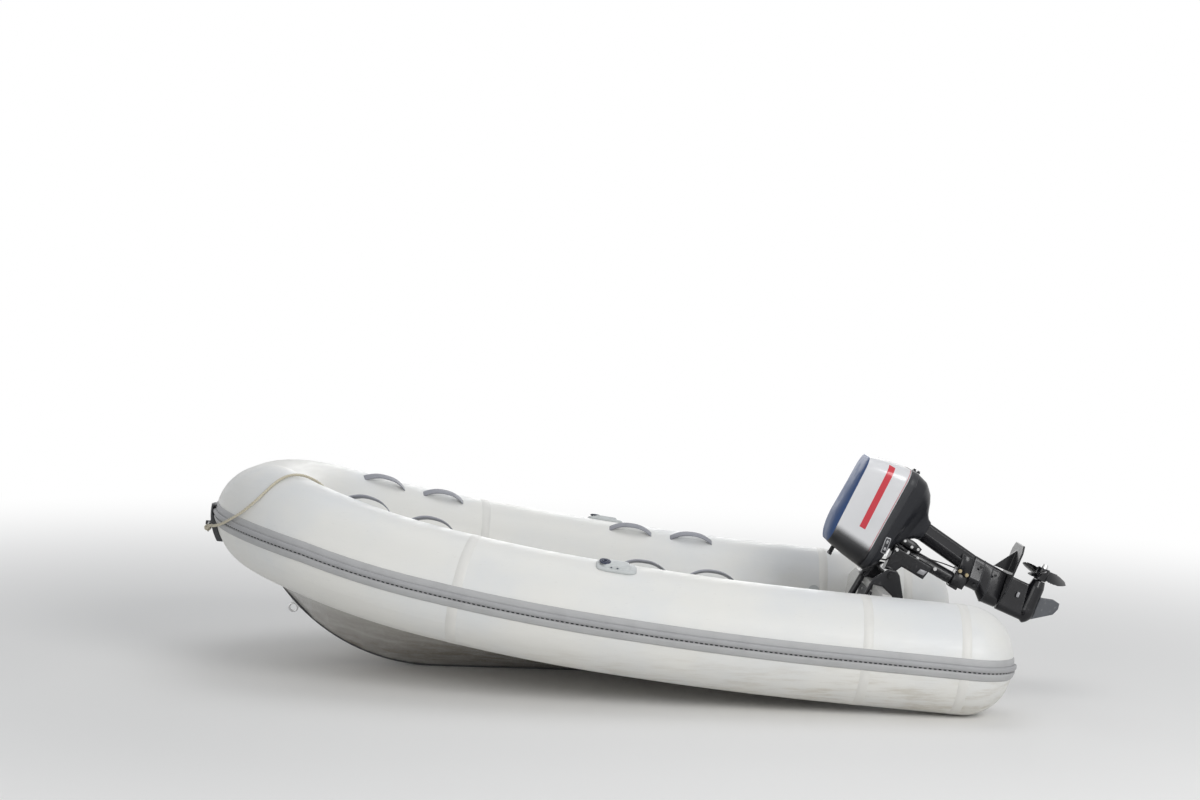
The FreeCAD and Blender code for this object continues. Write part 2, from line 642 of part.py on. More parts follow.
# Painter: from the ring round the port side of the bow, over the tube, down to its coil
deckTop = size("deckHeight") + size("deckThickness")
ropeRadius = size("ropeRadius")
painterRoute = [
    V(2750, 36.3, 371), V(2750, 62, 371), V(2726, 130, 397), V(2704, 208, 406), V(2686, 275, 417),
    V(2652, 352, 436), V(2612, 418, 468), V(2567, 448, 501), V(2530, 464, 538), V(2498, 465, 572),
    V(2443, 409, 637), V(2403, 356, 659), V(2363, 318, 662), V(2321, 289, 650), V(2276, 260, 624),
    V(2233, 228, 574), V(2203, 195, 481), V(2200, 190, 400), V(2180, 184, 330), V(2130, 176, 309),
    V(2030, 150, 287), V(1900, 118, 259), V(1760, 96, 229), V(1620, 84, 199), V(1490, 74, 171),
    V(1380, 68, 147), V(1300, 64, 132.3), V(1257.5, 62, 132.3),
]
painter = pipe(painterRoute, ropeRadius)
shaped("painter_rope", painter, boatFrame)

coilMiddle = V(size("coilForward"), size("coilSide"), deckTop + size("softGap"))
coil = Part.makeCylinder(size("coilOuter"), 4 * ropeRadius, coilMiddle, AXIS_Z)
coil = coil.cut(Part.makeCylinder(size("coilInner"), 90, coilMiddle + V(0, 0, -30), AXIS_Z))
coil = coil.cut(Part.makeBox(40, 400, 90, coilMiddle + V(77.5, -200, -30)))
shaped("painter_coil", coil, boatFrame)

# Stem eye: a towing ring low on the stem
eyeRun = math.sqrt(stemRadius ** 2 - (stemRadius - size("stemEyeRise")) ** 2)
eyeForward = size("keelRun") + eyeRun
eyeAngle = math.degrees(math.asin(eyeRun / stemRadius))
eyeFrame = Place(V(eyeForward, 0, keelHeight(eyeForward)), Turn(AXIS_Y, -eyeAngle))
eyePlate = primitive("Box", "eyePlate", Place(V(-30, -12, -4), Turn()), Length="60", Width="24", Height="4")
eyeHoop = primitive("Torus", "eyeHoop", Place(V(0, 0, -22), Turn(AXIS_X, 90)),
                    Radius1="Sizes.ringRadius", Radius2="Sizes.ringBar")
joined("stem_eye", [eyePlate, eyeHoop], eyeFrame)

# Clamp brackets: two cast arms that hook over the transom and carry the tilt pin
pivotOnBoard = transomFrame.inverse().multVec(pivotPoint)
boardTop = size("transomHeight")
innerFace = size("transomThickness") + size("padThickness")
outerFace = -size("padThickness")
screwUp = boardTop - size("screwDrop")
jaw = innerFace + size("jawGap")
thick = size("bracketThickness")
bracketRows = [
    # away from the transom's aft face, up the board
    (outerFace, boardTop - 184), (outerFace - 58, boardTop - 170),
    (outerFace - 86, pivotOnBoard.z - 154), (outerFace - 90, pivotOnBoard.z - 78),
    (pivotOnBoard.x - 36, pivotOnBoard.z + 8), (pivotOnBoard.x - 20, pivotOnBoard.z + 24),
    (pivotOnBoard.x + 16, pivotOnBoard.z + 24), (innerFace, boardTop + 24), (innerFace + 8, boardTop),
    (jaw + 16, screwUp + 30),
    (jaw + 16, screwUp - 18), (jaw, screwUp - 18), (jaw, screwUp + 40),
    (innerFace + 1, boardTop - 24), (size("transomThickness"), boardTop - 24),
    (size("transomThickness"), boardTop), (outerFace, boardTop),
]
for name, side in (("clamp_bracket_port", 1), ("clamp_bracket_starboard", -1)):
    middle = side * size("bracketSide")
    arm = outlineFace([V(x, middle - thick / 2, z) for x, z in bracketRows]).extrude(V(0, thick, 0))
    lug = Part.makeBox(16, thick + 16, 48, V(jaw, middle - thick / 2 - 8, screwUp - 18))
    screwSeat = size("screwRadius") + size("softGap")
    screwHole = Part.makeCylinder(screwSeat, 200, V(innerFace, middle, screwUp), AXIS_X)
    pinHole = Part.makeCylinder(size("pivotRadius") + size("softGap"), 60,
                                V(pivotOnBoard.x, middle - 30, pivotOnBoard.z), AXIS_Y)
    shaped(name, arm.fuse(lug).cut(screwHole).cut(pinHole).removeSplitter(), transomFrame)

screws = []
for side in (1, -1):
    foot = V(innerFace, side * size("bracketSide"), screwUp)
    screw = Part.makeCylinder(size("screwRadius"), size("screwReach"), foot, AXIS_X)
    screw = screw.fuse(Part.makeCylinder(17, 5, foot, AXIS_X))
    bar = Part.makeCylinder(4, 76, foot + V(size("screwReach") - 4, -38, 0), AXIS_Y)
    screws.append(screw.fuse(bar).removeSplitter())
shaped("clamp_screws", Part.makeCompound(screws), transomFrame)

pinHalf = size("bracketSide") + thick / 2 + size("pivotOverhang")
tiltPin = primitive("Cylinder", "tilt_pin", Radius="Sizes.pivotRadius",
                    Height="2 * (Sizes.bracketSide + Sizes.bracketThickness / 2 + Sizes.pivotOverhang)")
keep("tilt_pin", tiltPin, Place(pivotPoint + V(0, -pinHalf, 0), Turn(AXIS_X, -90)))

# Swivel bracket: turns on the tilt pin and holds the steering spindle
steer = -size("steerAft")
swivelTop = size("swivelTop")
swivelLow = -size("swivelDrop")
swivelTube = Part.makeCylinder(size("swivelRadius"), swivelTop - swivelLow, V(steer, 0, swivelLow), AXIS_Z)
crossWide = 2 * (size("bracketSide") - thick / 2 - size("runGap"))
crossTube = Part.makeCylinder(19, crossWide, V(0, -crossWide / 2, 0), AXIS_Y)
web = outlineFace([V(6, -34, 17), V(steer, -34, swivelTop - 4), V(steer, -34, -152), V(-48, -34, -144),
                   V(-50, -34, -40), V(6, -34, -17)])
web = web.extrude(V(0, 68, 0))
swivel = swivelTube.fuse([crossTube, web]).removeSplitter()
swivel = swivel.cut(Part.makeCylinder(size("steerPinRadius") + size("softGap"), 500, V(steer, 0, -400), AXIS_Z))
swivel = swivel.cut(Part.makeCylinder(size("pivotRadius") + size("softGap"), 400, V(0, -200, 0), AXIS_Y))
shaped("swivel_bracket", swivel, motorFrame)

# Steering spindle with its yokes, fixed to the motor's leg
yokeTall = size("yokeHeight")
yokeTop = swivelTop + size("runGap")
yokeLow = swivelLow - size("runGap")
spindle = Part.makeCylinder(size("steerPinRadius"), yokeTop - yokeLow + 30, V(steer, 0, yokeLow - 15), AXIS_Z)
yokeRear = -size("legFront") - 16
upperYoke = Part.makeBox(steer + 22 - yokeRear, 64, 22, V(yokeRear, -32, yokeTop))
lowerYoke = Part.makeBox(steer + 34 - yokeRear, 60, yokeTall, V(yokeRear, -30, yokeLow - yokeTall))
shaped("steering_yokes", spindle.fuse([upperYoke, lowerYoke]).removeSplitter(), motorFrame)


def dropSection(front, rear, half, height):
    """A streamlined section across the leg: round nose and a narrow tail."""
    tail = half * 0.3
    nose = Part.Arc(V(front - half, half, height), V(front, 0, height), V(front - half, -half, height))
    end = Part.Arc(V(rear + tail, -tail, height), V(rear, 0, height), V(rear + tail, tail, height))
    sides = [Part.LineSegment(V(front - half, -half, height), V(rear + tail, -tail, height))]
    sides.append(Part.LineSegment(V(rear + tail, tail, height), V(front - half, half, height)))
    return Part.Wire([edge.toShape() for edge in (nose, sides[0], end, sides[1])])


# The lower leg, gearcase and propeller lean together about a point on the shaft
shaftHeight = -size("shaftDrop")
leanCentre = V(-200, 0, shaftHeight)
leanFrame = Place(leanCentre, Turn(AXIS_Y, size("lowerLean"))).multiply(Place(leanCentre * -1, Turn()))
lowerFrame = motorFrame.multiply(leanFrame)
legTop = -20
legLow = -size("legDrop")
footTopFront = -size("legFront") - 12
footTopRear = -size("legRear") - 15
legFoot = dropSection(footTopFront, footTopRear, size("legHalf"), legLow).transformed(leanFrame.toMatrix())
legHead = dropSection(-size("legFront"), -size("legRear"), size("legHalf") + 4, legTop)
leg = Part.makeLoft([legHead, legFoot], True, True)
leg = leg.cut(nodes["steering_yokes"].Shape.transformed(motorFrame.inverse().toMatrix()))
shaped("leg_housing", leg, motorFrame)

plateTop = -size("plateDrop")
plateLow = plateTop - size("plateThickness")
footSections = [
    dropSection(-size("footFront") - 36, footTopRear, size("footHalf"), legLow),
    dropSection(-size("footFront") - 34, -size("legRear") - 8, size("footHalf"), legLow - 52),
    dropSection(-size("footFront"), -size("legRear") - 4, size("footHalf"), legLow - 86),
    dropSection(-size("footFront"), -size("legRear") + 4, size("footHalf") - 8, plateTop),
]
shaped("leg_extension", Part.makeLoft(footSections, True, True), lowerFrame)

plateRows = [(-size("footFront") - 16, 30), (-size("footFront") - 76, size("plateHalf") - 8),
             (-size("plateRear") + 30, size("plateHalf")), (-size("plateRear"), size("plateHalf") - 22)]
plateLoop = [V(x, y, plateLow) for x, y in plateRows] + [V(x, -y, plateLow) for x, y in reversed(plateRows)]
plate = outlineFace(plateLoop).extrude(V(0, 0, size("plateThickness")))
finRear = -size("legRear") - 6
finLow = plateTop - 1
fin = outlineFace([V(finRear, -5, plateTop + 66), V(finRear, -5, finLow), V(finRear - 98, -5, finLow)])
fin = fin.extrude(V(0, 10, 0)).cut(nodes["leg_extension"].Shape.transformed(lowerFrame.inverse().toMatrix()))
shaped("cavitation_plate", plate.fuse(fin).removeSplitter(), lowerFrame)

bullet = size("bulletRadius")
noseLong = 70
noseRows = [
    Part.Arc(V(-size("bulletNose"), 0, shaftHeight),
             V(-size("bulletNose") - noseLong * 0.29, 0, shaftHeight + bullet * 0.71),
             V(-size("bulletNose") - noseLong, 0, shaftHeight + bullet)),
    Part.LineSegment(V(-size("bulletNose") - noseLong, 0, shaftHeight + bullet),
                     V(-size("bulletRear") + 30, 0, shaftHeight + bullet)),
    Part.LineSegment(V(-size("bulletRear") + 30, 0, shaftHeight + bullet),
                     V(-size("bulletRear"), 0, shaftHeight + size("hubRadius"))),
    Part.LineSegment(V(-size("bulletRear"), 0, shaftHeight + size("hubRadius")),
                     V(-size("bulletRear"), 0, shaftHeight)),
    Part.LineSegment(V(-size("bulletRear"), 0, shaftHeight), V(-size("bulletNose"), 0, shaftHeight)),
]
bulletFace = Part.Face(Part.Wire([edge.toShape() for edge in noseRows]))
bulletSolid = bulletFace.revolve(V(0, 0, shaftHeight), AXIS_X, 360)
strut = Part.makeLoft([
    dropSection(-size("footFront") + 4, -size("legRear") + 6, 30, plateLow),
    dropSection(-size("bulletNose") - 8, -size("legRear") + 12, 24, shaftHeight),
], True, True)
shaftPin = Part.makeCylinder(8, size("hubLength") + 13, V(-size("bulletRear"), 0, shaftHeight), AXIS_X * -1)
shaped("gearcase", bulletSolid.fuse([strut, shaftPin]).removeSplitter(), lowerFrame)

skegLow = -size("skegDrop")
skegRows = [(-122, shaftHeight - 28), (-178, skegLow + 12), (-208, skegLow), (-232, skegLow + 4),
            (-238, skegLow + 37), (-224, shaftHeight - 28)]
skegFace = outlineFace([V(x, -size("skegThickness") / 2, z) for x, z in skegRows])
skeg = skegFace.extrude(V(0, size("skegThickness"), 0)).cut(bulletSolid)
shaped("skeg", skeg, lowerFrame)


# Cowl: rounded plan sections, a crisp upper edge and a shallow crown
def planSection(front, rear, half, height, cornerFront, cornerRear, slope=0.0):
    """A rounded oblong across the motor, its plane rising to the rear by slope degrees."""
    lift = math.tan(math.radians(slope))
    rows = [
        (front, half, cornerFront), (front, -half, cornerFront),
        (rear, -half, cornerRear), (rear, half, cornerRear),
    ]
    edges = []
    corners = []
    for index, (x, y, corner) in enumerate(rows):
        here = V(x, y, 0)
        before = V(*rows[index - 1][:2], 0)
        after = V(*rows[(index + 1) % 4][:2], 0)
        start = here + (before - here).normalize() * corner
        end = here + (after - here).normalize() * corner
        inward = ((before - here).normalize() + (after - here).normalize()) * corner
        middle = here + inward * (1 - math.sqrt(0.5))
        corners.append((start, middle, end))
    for index, (start, middle, end) in enumerate(corners):
        edges.append(Part.Arc(start, middle, end).toShape())
        edges.append(Part.LineSegment(end, corners[(index + 1) % 4][0]).toShape())
    wire = Part.Wire(edges)
    matrix = FreeCAD.Matrix(1, 0, 0, 0, 0, 1, 0, 0, -lift, 0, 1, height + lift * -200)
    return wire.transformGeometry(matrix)


cowlFront = size("cowlFront")
cowlRear = -size("cowlRear")
cowlHalf = size("cowlHalf")


def cowlBody(inset, lid):
    """The cowl's outer form, or its inside with an inset."""
    low = size("cowlBottom") - (1 if inset else 0)
    edge = size("cowlTop") - lid
    sections = [
        planSection(cowlFront - inset, cowlRear + inset, cowlHalf - inset, low, 74 - inset, 60 - inset, 1.5),
        planSection(cowlFront - 25 - inset, cowlRear + 38 + inset, cowlHalf - 12 - inset, edge,
                    60 - inset, 56 - inset, 3.5),
        planSection(cowlFront - 75 - inset, cowlRear + 62 + inset, cowlHalf - 40 - inset,
                    edge + size("cowlCrown") * 0.65, 50 - inset, 46 - inset, 1.5),
        planSection(cowlFront - 140 - inset, cowlRear + 112 + inset, cowlHalf - 78 - inset,
                    edge + size("cowlCrown"), 34 - inset, 34 - inset, 0),
    ]
    return Part.makeLoft(sections, True, True)


cowl = cowlBody(0, 0).cut(cowlBody(size("cowlWall"), size("cowlWall")))
shaped("top_cowl", cowl, motorFrame)

panSections = [
    planSection(cowlFront, cowlRear, cowlHalf, size("cowlBottom"), 74, 60, 1.5),
    planSection(cowlFront - 3, cowlRear, cowlHalf - 1, size("cowlBottom") - 28, 72, 60, 0),
    planSection(cowlFront - 37, cowlRear + 13, cowlHalf - 10, size("cowlBottom") - 68, 66, 60, -2),
    planSection(cowlFront - 101, cowlRear + 49, cowlHalf - 40, size("cowlBottom") - 88, 50, 50, -10),
    planSection(cowlFront - 187, cowlRear + 103, cowlHalf - 76, size("cowlBottom") - 132, 30, 30, -10),
]
pan = Part.makeLoft(panSections, True, True)
panFoot = Part.makeLoft([dropSection(-size("legFront"), -size("legRear"), size("legHalf") + 4, legTop),
                         dropSection(-size("legFront"), -size("legRear"), size("legHalf") + 4, 30)], True, True)
# Room under the cowl for the swivel bracket to turn in
swivelRoom = Part.makeBox(300, 400, 200, V(steer - size("swivelRadius") - 6, -200, yokeTop - 200))
panSolid = pan.fuse(panFoot).cut(swivelRoom)

block = primitive("Box", "powerhead", Length="280", Width="170", Height="140")
keep("powerhead", block, motorFrame.multiply(Place(V(-350, -85, size("cowlBottom") + 4.2), Turn())))

# Starter grip: a stub and its handle, high on the cowl's front
gripRoot = V(cowlFront - 30, 0, size("cowlTop") - 62)
grip = Part.makeCylinder(9, 40, gripRoot, AXIS_X).fuse(Part.makeBox(12, 46, 14, gripRoot + V(38, -23, -7)))
grip = grip.cut(cowlBody(0, 0)).removeSplitter()
shaped("starter_grip", grip, motorFrame)

# Steering arm and tiller
hingeX = size("tillerHinge")
hingeZ = size("tillerHeight")
tillerR = size("tillerRadius")
armBase = yokeTop + 22
arm = Part.makeBox(hingeX - steer - 26, 40, hingeZ - armBase - 6, V(steer + 4, -20, armBase))
cheeks = [Part.makeBox(36, 8, 30, V(hingeX - 24, y, hingeZ - 15)) for y in (-26, 18)]
sleeve = Part.makeBox(20, 52, 18, V(hingeX - 42, -26, hingeZ - 15))
hingeHole = Part.makeCylinder(5.2, 80, V(hingeX, -40, hingeZ), AXIS_Y)
arm = arm.fuse(cheeks + [sleeve]).cut(hingeHole).removeSplitter()
shaped("steering_arm", arm, motorFrame)
yokeSolid = nodes["steering_yokes"].Shape.transformed(motorFrame.inverse().toMatrix())
panSolid = panSolid.cut(yokeSolid).cut(arm)
panSolid = max(panSolid.removeSplitter().Solids, key=lambda solid: solid.Volume)
shaped("lower_cowl", panSolid, motorFrame)

tiller = Part.makeCylinder(tillerR, size("tillerReach") - size("gripLength"), V(hingeX, 0, hingeZ), AXIS_X)
knuckle = Part.makeCylinder(16, 34, V(hingeX, -17, hingeZ), AXIS_Y)
hingePin = Part.makeCylinder(5, 60, V(hingeX, -30, hingeZ), AXIS_Y)
shaped("tiller_arm", tiller.fuse([knuckle, hingePin]).removeSplitter(), motorFrame)
gripStart = hingeX + size("tillerReach") - size("gripLength")
tillerGrip = Part.makeCylinder(size("gripRadius"), size("gripLength"), V(gripStart, 0, hingeZ), AXIS_X)
shaped("tiller_grip", tillerGrip, motorFrame)

# Propeller: three twisted blades on a through hub
hubFront = -size("bulletRear") - 2
hub = Part.makeCylinder(size("hubRadius"), size("hubLength"), V(hubFront, 0, 0), AXIS_X * -1)


def bladeSection(radius, chord, thick):
    """A thin curved slice of a blade at one radius, along the Z axis."""
    pitch = math.radians(size("bladePitchAngle") * size("hubRadius") / radius * 1.6)
    pitch = min(pitch, math.radians(62))
    along = V(-math.sin(pitch), math.cos(pitch), 0)
    across = V(math.cos(pitch), math.sin(pitch), 0)
    middle = V(hubFront - size("hubLength") / 2, 0, radius)
    lead = middle + along * (chord / 2)
    trail = middle - along * (chord / 2)
    edges = [
        Part.Arc(trail, middle + across * thick, lead).toShape(),
        Part.Arc(lead, middle - across * (thick * 0.1), trail).toShape(),
    ]
    return Part.Wire(edges)


bladeRows = [
    # radius, chord, thickness
    (size("hubRadius") - 6, 46, 7), (size("propRadius") * 0.6, 86, 5), (size("propRadius") * 0.85, 82, 3.5),
    (size("propRadius"), 44, 2),
]
blade = Part.makeLoft([bladeSection(*row) for row in bladeRows], True, False)
blades = []
for turn in (60, 180, 300):
    one = blade.copy()
    one.rotate(ORIGIN, AXIS_X, turn)
    blades.append(one)
screwShape = hub.fuse(blades).cut(Part.makeCylinder(8.3, 400, V(0, 0, 0), AXIS_X * -1)).removeSplitter()
shaftFrame = lowerFrame.multiply(Place(V(0, 0, shaftHeight), Turn()))
shaped("propeller", screwShape, shaftFrame)
nut = Part.makeCone(15, 11, 16, V(hubFront - size("hubLength"), 0, 0), AXIS_X * -1)
nut = nut.cut(Part.makeCylinder(8.3, 13, V(hubFront - size("hubLength"), 0, 0), AXIS_X * -1))
shaped("propeller_nut", nut, shaftFrame)

doc.recompute()
for thing in doc.Objects:
    if "Invalid" in thing.State or "Error" in thing.State:
        raise RuntimeError("failed object " + thing.Name)
os.makedirs("parts", exist_ok=True)
for name, thing in nodes.items():
    shape = thing.Shape
    if shape.isNull() or not shape.isValid():
        raise RuntimeError("bad shape " + name)
    shape.exportStep("parts/" + name + ".step")
    box = shape.BoundBox
    print("%-26s %2d %8.1f cm3" % (name, len(shape.Solids), shape.Volume / 1000),
          [round(v) for v in (box.XMin, box.YMin, box.ZMin, box.XMax, box.YMax, box.ZMax)])
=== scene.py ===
import math

import bmesh
import bpy
from mathutils import Matrix, Vector


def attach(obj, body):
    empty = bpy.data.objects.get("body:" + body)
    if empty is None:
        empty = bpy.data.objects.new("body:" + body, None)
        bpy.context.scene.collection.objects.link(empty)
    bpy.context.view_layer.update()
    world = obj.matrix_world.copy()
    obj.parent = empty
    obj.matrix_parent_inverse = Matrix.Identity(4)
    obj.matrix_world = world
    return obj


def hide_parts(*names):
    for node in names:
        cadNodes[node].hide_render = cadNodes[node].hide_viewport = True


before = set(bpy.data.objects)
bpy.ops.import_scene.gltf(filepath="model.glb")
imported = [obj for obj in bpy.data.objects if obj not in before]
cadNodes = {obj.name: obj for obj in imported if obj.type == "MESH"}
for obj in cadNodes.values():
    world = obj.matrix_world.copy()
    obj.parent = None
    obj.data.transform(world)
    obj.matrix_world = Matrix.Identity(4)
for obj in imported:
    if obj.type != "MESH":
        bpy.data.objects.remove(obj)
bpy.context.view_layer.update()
print("frame loaded:", len(cadNodes), "nodes")

# The tubes' level lines are pitched bow-up on the floor, and the motor is held up on its tilt pin
stance = {"trim": 3.8, "tilt": 62.0, "rake": 8.1, "pivotAft": 0.090, "pivotHeight": 0.466, "lean": 7.5,
          "leanCentre": (-0.200, 0, -0.593)}
boatPlace = Matrix.Rotation(math.radians(-stance["trim"]), 4, "Y")
boardPlace = Matrix.Rotation(math.radians(-stance["trim"] - stance["rake"]), 4, "Y")
pivotPoint = boatPlace @ Vector((-stance["pivotAft"], 0, stance["pivotHeight"]))
motorPlace = Matrix.Translation(pivotPoint) @ Matrix.Rotation(math.radians(stance["tilt"]), 4, "Y")
leanCentre = Vector(stance["leanCentre"])
leanTurn = Matrix.Rotation(math.radians(stance["lean"]), 4, "Y")
lowerPlace = motorPlace @ Matrix.Translation(leanCentre) @ leanTurn @ Matrix.Translation(-leanCentre)
up = Vector((0, 0, 1))
boatSides = {"port": 1, "starboard": -1}


def linked(name, data):
    holder = bpy.data.objects.new(name, data)
    bpy.context.scene.collection.objects.link(holder)
    return holder


# Camera: the photograph's view, from standing height
camera = {"place": (1.3916, 8.9641, 1.7494), "right": (-0.9989, 0.0288, 0.0374),
          "up": (0.0353, -0.0691, 0.9970), "lens": 64.7, "sensor": 36.0}
cameraData = bpy.data.cameras.new("eye")
cameraData.lens = camera["lens"]
cameraData.sensor_width = camera["sensor"]
cameraObject = linked("eye", cameraData)
eyeRight = Vector(camera["right"]).normalized()
eyeBack = eyeRight.cross(Vector(camera["up"])).normalized()
eyeUp = eyeBack.cross(eyeRight)
eyeTurn = Matrix((eyeRight, eyeUp, eyeBack)).transposed().to_4x4()
cameraObject.matrix_world = Matrix.Translation(camera["place"]) @ eyeTurn
bpy.context.scene.camera = cameraObject
print("camera set")


# Small tools for materials
def startMaterial(name, colour, roughness, metallic=0.0, coat=0.0, gloss=0.5):
    material = bpy.data.materials.new(name)
    material.use_nodes = True
    shader = material.node_tree.nodes["Principled BSDF"]
    settings = {"Base Color": (*colour, 1), "Roughness": roughness, "Metallic": metallic,
                "Coat Weight": coat, "Coat Roughness": 0.08, "Specular IOR Level": gloss}
    for key, value in settings.items():
        shader.inputs[key].default_value = value
    return material, material.node_tree, shader


# A new node with its settings; one that is another node's output is linked
def addNode(tree, kind, **settings):
    node = tree.nodes.new(kind)
    for key, value in settings.items():
        if key not in node.inputs:
            setattr(node, key, value)
        elif isinstance(value, bpy.types.NodeSocket):
            tree.links.new(value, node.inputs[key])
        else:
            node.inputs[key].default_value = value
    return node


def objectPoint(tree, scale=(1, 1, 1), turn=(0, 0, 0), place=(0, 0, 0)):
    point = addNode(tree, "ShaderNodeTexCoord").outputs["Object"]
    mapping = addNode(tree, "ShaderNodeMapping", Vector=point, Scale=scale, Rotation=turn, Location=place)
    return mapping.outputs["Vector"]


# Noise over a piece's own metres, finer along an axis with a larger scale
def noiseOn(tree, size, detail=3.0, roughness=0.55, scale=(1, 1, 1)):
    point = objectPoint(tree, scale)
    node = addNode(tree, "ShaderNodeTexNoise", Vector=point, Scale=size, Detail=detail, Roughness=roughness)
    return node.outputs["Fac"]


def spread(tree, value, low, high):
    node = addNode(tree, "ShaderNodeMapRange", Value=value)
    node.inputs["To Min"].default_value = low
    node.inputs["To Max"].default_value = high
    return node.outputs["Result"]


def ramp(tree, value, low, high):
    node = addNode(tree, "ShaderNodeMapRange", interpolation_type="SMOOTHSTEP", Value=value)
    node.inputs["From Min"].default_value = low
    node.inputs["From Max"].default_value = high
    return node.outputs["Result"]


# Soft patches where the noise goes from low to high
def patches(tree, low, high, *noise):
    return ramp(tree, noiseOn(tree, *noise), low, high)


# A sum on numbers and other nodes' outputs
def reckon(tree, operation, *values):
    node = addNode(tree, "ShaderNodeMath", operation=operation)
    for socket, value in zip(node.inputs, values):
        if isinstance(value, (int, float)):
            socket.default_value = value
        else:
            tree.links.new(value, socket)
    return node.outputs[0]


def times(tree, first, second):
    return reckon(tree, "MULTIPLY", first, second)


# The second value with a share of the first added
def shear(tree, first, second, share):
    return reckon(tree, "MULTIPLY_ADD", first, share, second)


def blendColours(tree, factor, first, second):
    node = addNode(tree, "ShaderNodeMix", data_type="RGBA")
    tree.links.new(factor, node.inputs[0])
    for socket, value in zip((node.inputs[6], node.inputs[7]), (first, second)):
        if isinstance(value, tuple):
            socket.default_value = (*value, 1)
        else:
            tree.links.new(value, socket)
    return node.outputs[2]


def tinted(colour, share, lift=0.0):
    return tuple(channel * share + lift for channel in colour)


# Gives the shader its colour, and a roughness that follows the marks between two limits
def paint(tree, shader, colour, marks, smoothest, roughest):
    tree.links.new(colour, shader.inputs["Base Color"])
    tree.links.new(spread(tree, marks, smoothest, roughest), shader.inputs["Roughness"])


def bumpFrom(tree, shader, height, distance, strength):
    node = addNode(tree, "ShaderNodeBump", Height=height, Strength=strength, Distance=distance)
    tree.links.new(node.outputs["Normal"], shader.inputs["Normal"])
    return node


# Object coordinates in the tilted motor's own frame
def motorPoint(tree):
    back = motorPlace.inverted()
    return objectPoint(tree, (1, 1, 1), back.to_euler(), back.to_translation())


def splitPoint(tree, point):
    return addNode(tree, "ShaderNodeSeparateXYZ", Vector=point).outputs


# One between two values, nought outside them
def stripe(tree, value, low, high, soft=0.0006):
    return times(tree, ramp(tree, value, low, low + soft), ramp(tree, value, high, high - soft))


# Patchy darkening that grows from none at the top height to all at the full one: dirt, and on the hull also
# painted shade and painted reflection of sand
def groundDirtAndShade(tree, top, full, patchy, share):
    low = ramp(tree, splitPoint(tree, objectPoint(tree))["Z"], top, full)
    return times(tree, times(tree, low, patches(tree, *patchy)), share)


# In each look, patches are low, high and their noise, noise is size, detail, roughness and scale, and
# a bump such as weave, grain, ripple or fibre is height and strength
def boatFabric():
    look = {"clean": (0.765, 0.755, 0.715), "cool": (0.70, 0.71, 0.71),
            "coolPatches": (0.35, 0.75, 2.2, 4.0),
            "dirt": (0.45, 0.40, 0.31), "dirtHeights": (0.30, 0.0), "dirtShare": 0.75,
            "dirtPatches": (0.42, 0.75, 5.0, 6.0, 0.65, (1.2, 3, 9)),
            "scuff": (0.60, 0.59, 0.55), "scuffShare": 0.55,
            "scuffPatches": (0.60, 0.74, 38.0, 6.0, 0.7, (1, 2, 6)),
            "roughness": (0.36, 0.58), "roughPatches": (0.3, 0.8, 9.0, 5.0, 0.55, (1, 1, 14)),
            "waveNoise": (7.0, 2.0, 0.55, (1, 1, 2.5)), "waveHeight": 0.004, "waveShare": 0.5,
            "weaveNoise": (420.0, 1.0), "weave": (0.0006, 0.3)}
    material, tree, shader = startMaterial("coated boat fabric", look["clean"], 0.42)
    tone = blendColours(tree, patches(tree, *look["coolPatches"]), look["clean"], look["cool"])
    dirty = groundDirtAndShade(tree, *look["dirtHeights"], look["dirtPatches"], look["dirtShare"])
    soiled = blendColours(tree, dirty, tone, look["dirt"])
    scuffs = times(tree, patches(tree, *look["scuffPatches"]), look["scuffShare"])
    scuffed = blendColours(tree, scuffs, soiled, look["scuff"])
    paint(tree, shader, scuffed, patches(tree, *look["roughPatches"]), *look["roughness"])
    waves = addNode(tree, "ShaderNodeBump", Height=noiseOn(tree, *look["waveNoise"]),
                    Strength=look["waveShare"], Distance=look["waveHeight"])
    weave = bumpFrom(tree, shader, noiseOn(tree, *look["weaveNoise"]), *look["weave"])
    tree.links.new(waves.outputs["Normal"], weave.inputs["Normal"])
    return material


def mouldedRubber(name, colour, roughness=0.55, grain=260.0, faded=0.82, gloss=0.5):
    look = {"fadedPatches": (0.4, 0.75, 14.0, 5.0), "scuffNoise": (32.0, 5.0, 0.7, (1, 1, 5)),
            "rubbed": 0.8, "scuffed": 1.2, "grainDetail": 2.0, "grain": (0.0005, 0.5)}
    material, tree, shader = startMaterial(name, colour, roughness, gloss=gloss)
    tone = blendColours(tree, patches(tree, *look["fadedPatches"]), colour, tinted(colour, faded))
    scuffs = noiseOn(tree, *look["scuffNoise"])
    paint(tree, shader, tone, scuffs, roughness * look["rubbed"], roughness * look["scuffed"])
    bumpFrom(tree, shader, noiseOn(tree, grain, look["grainDetail"]), *look["grain"])
    return material


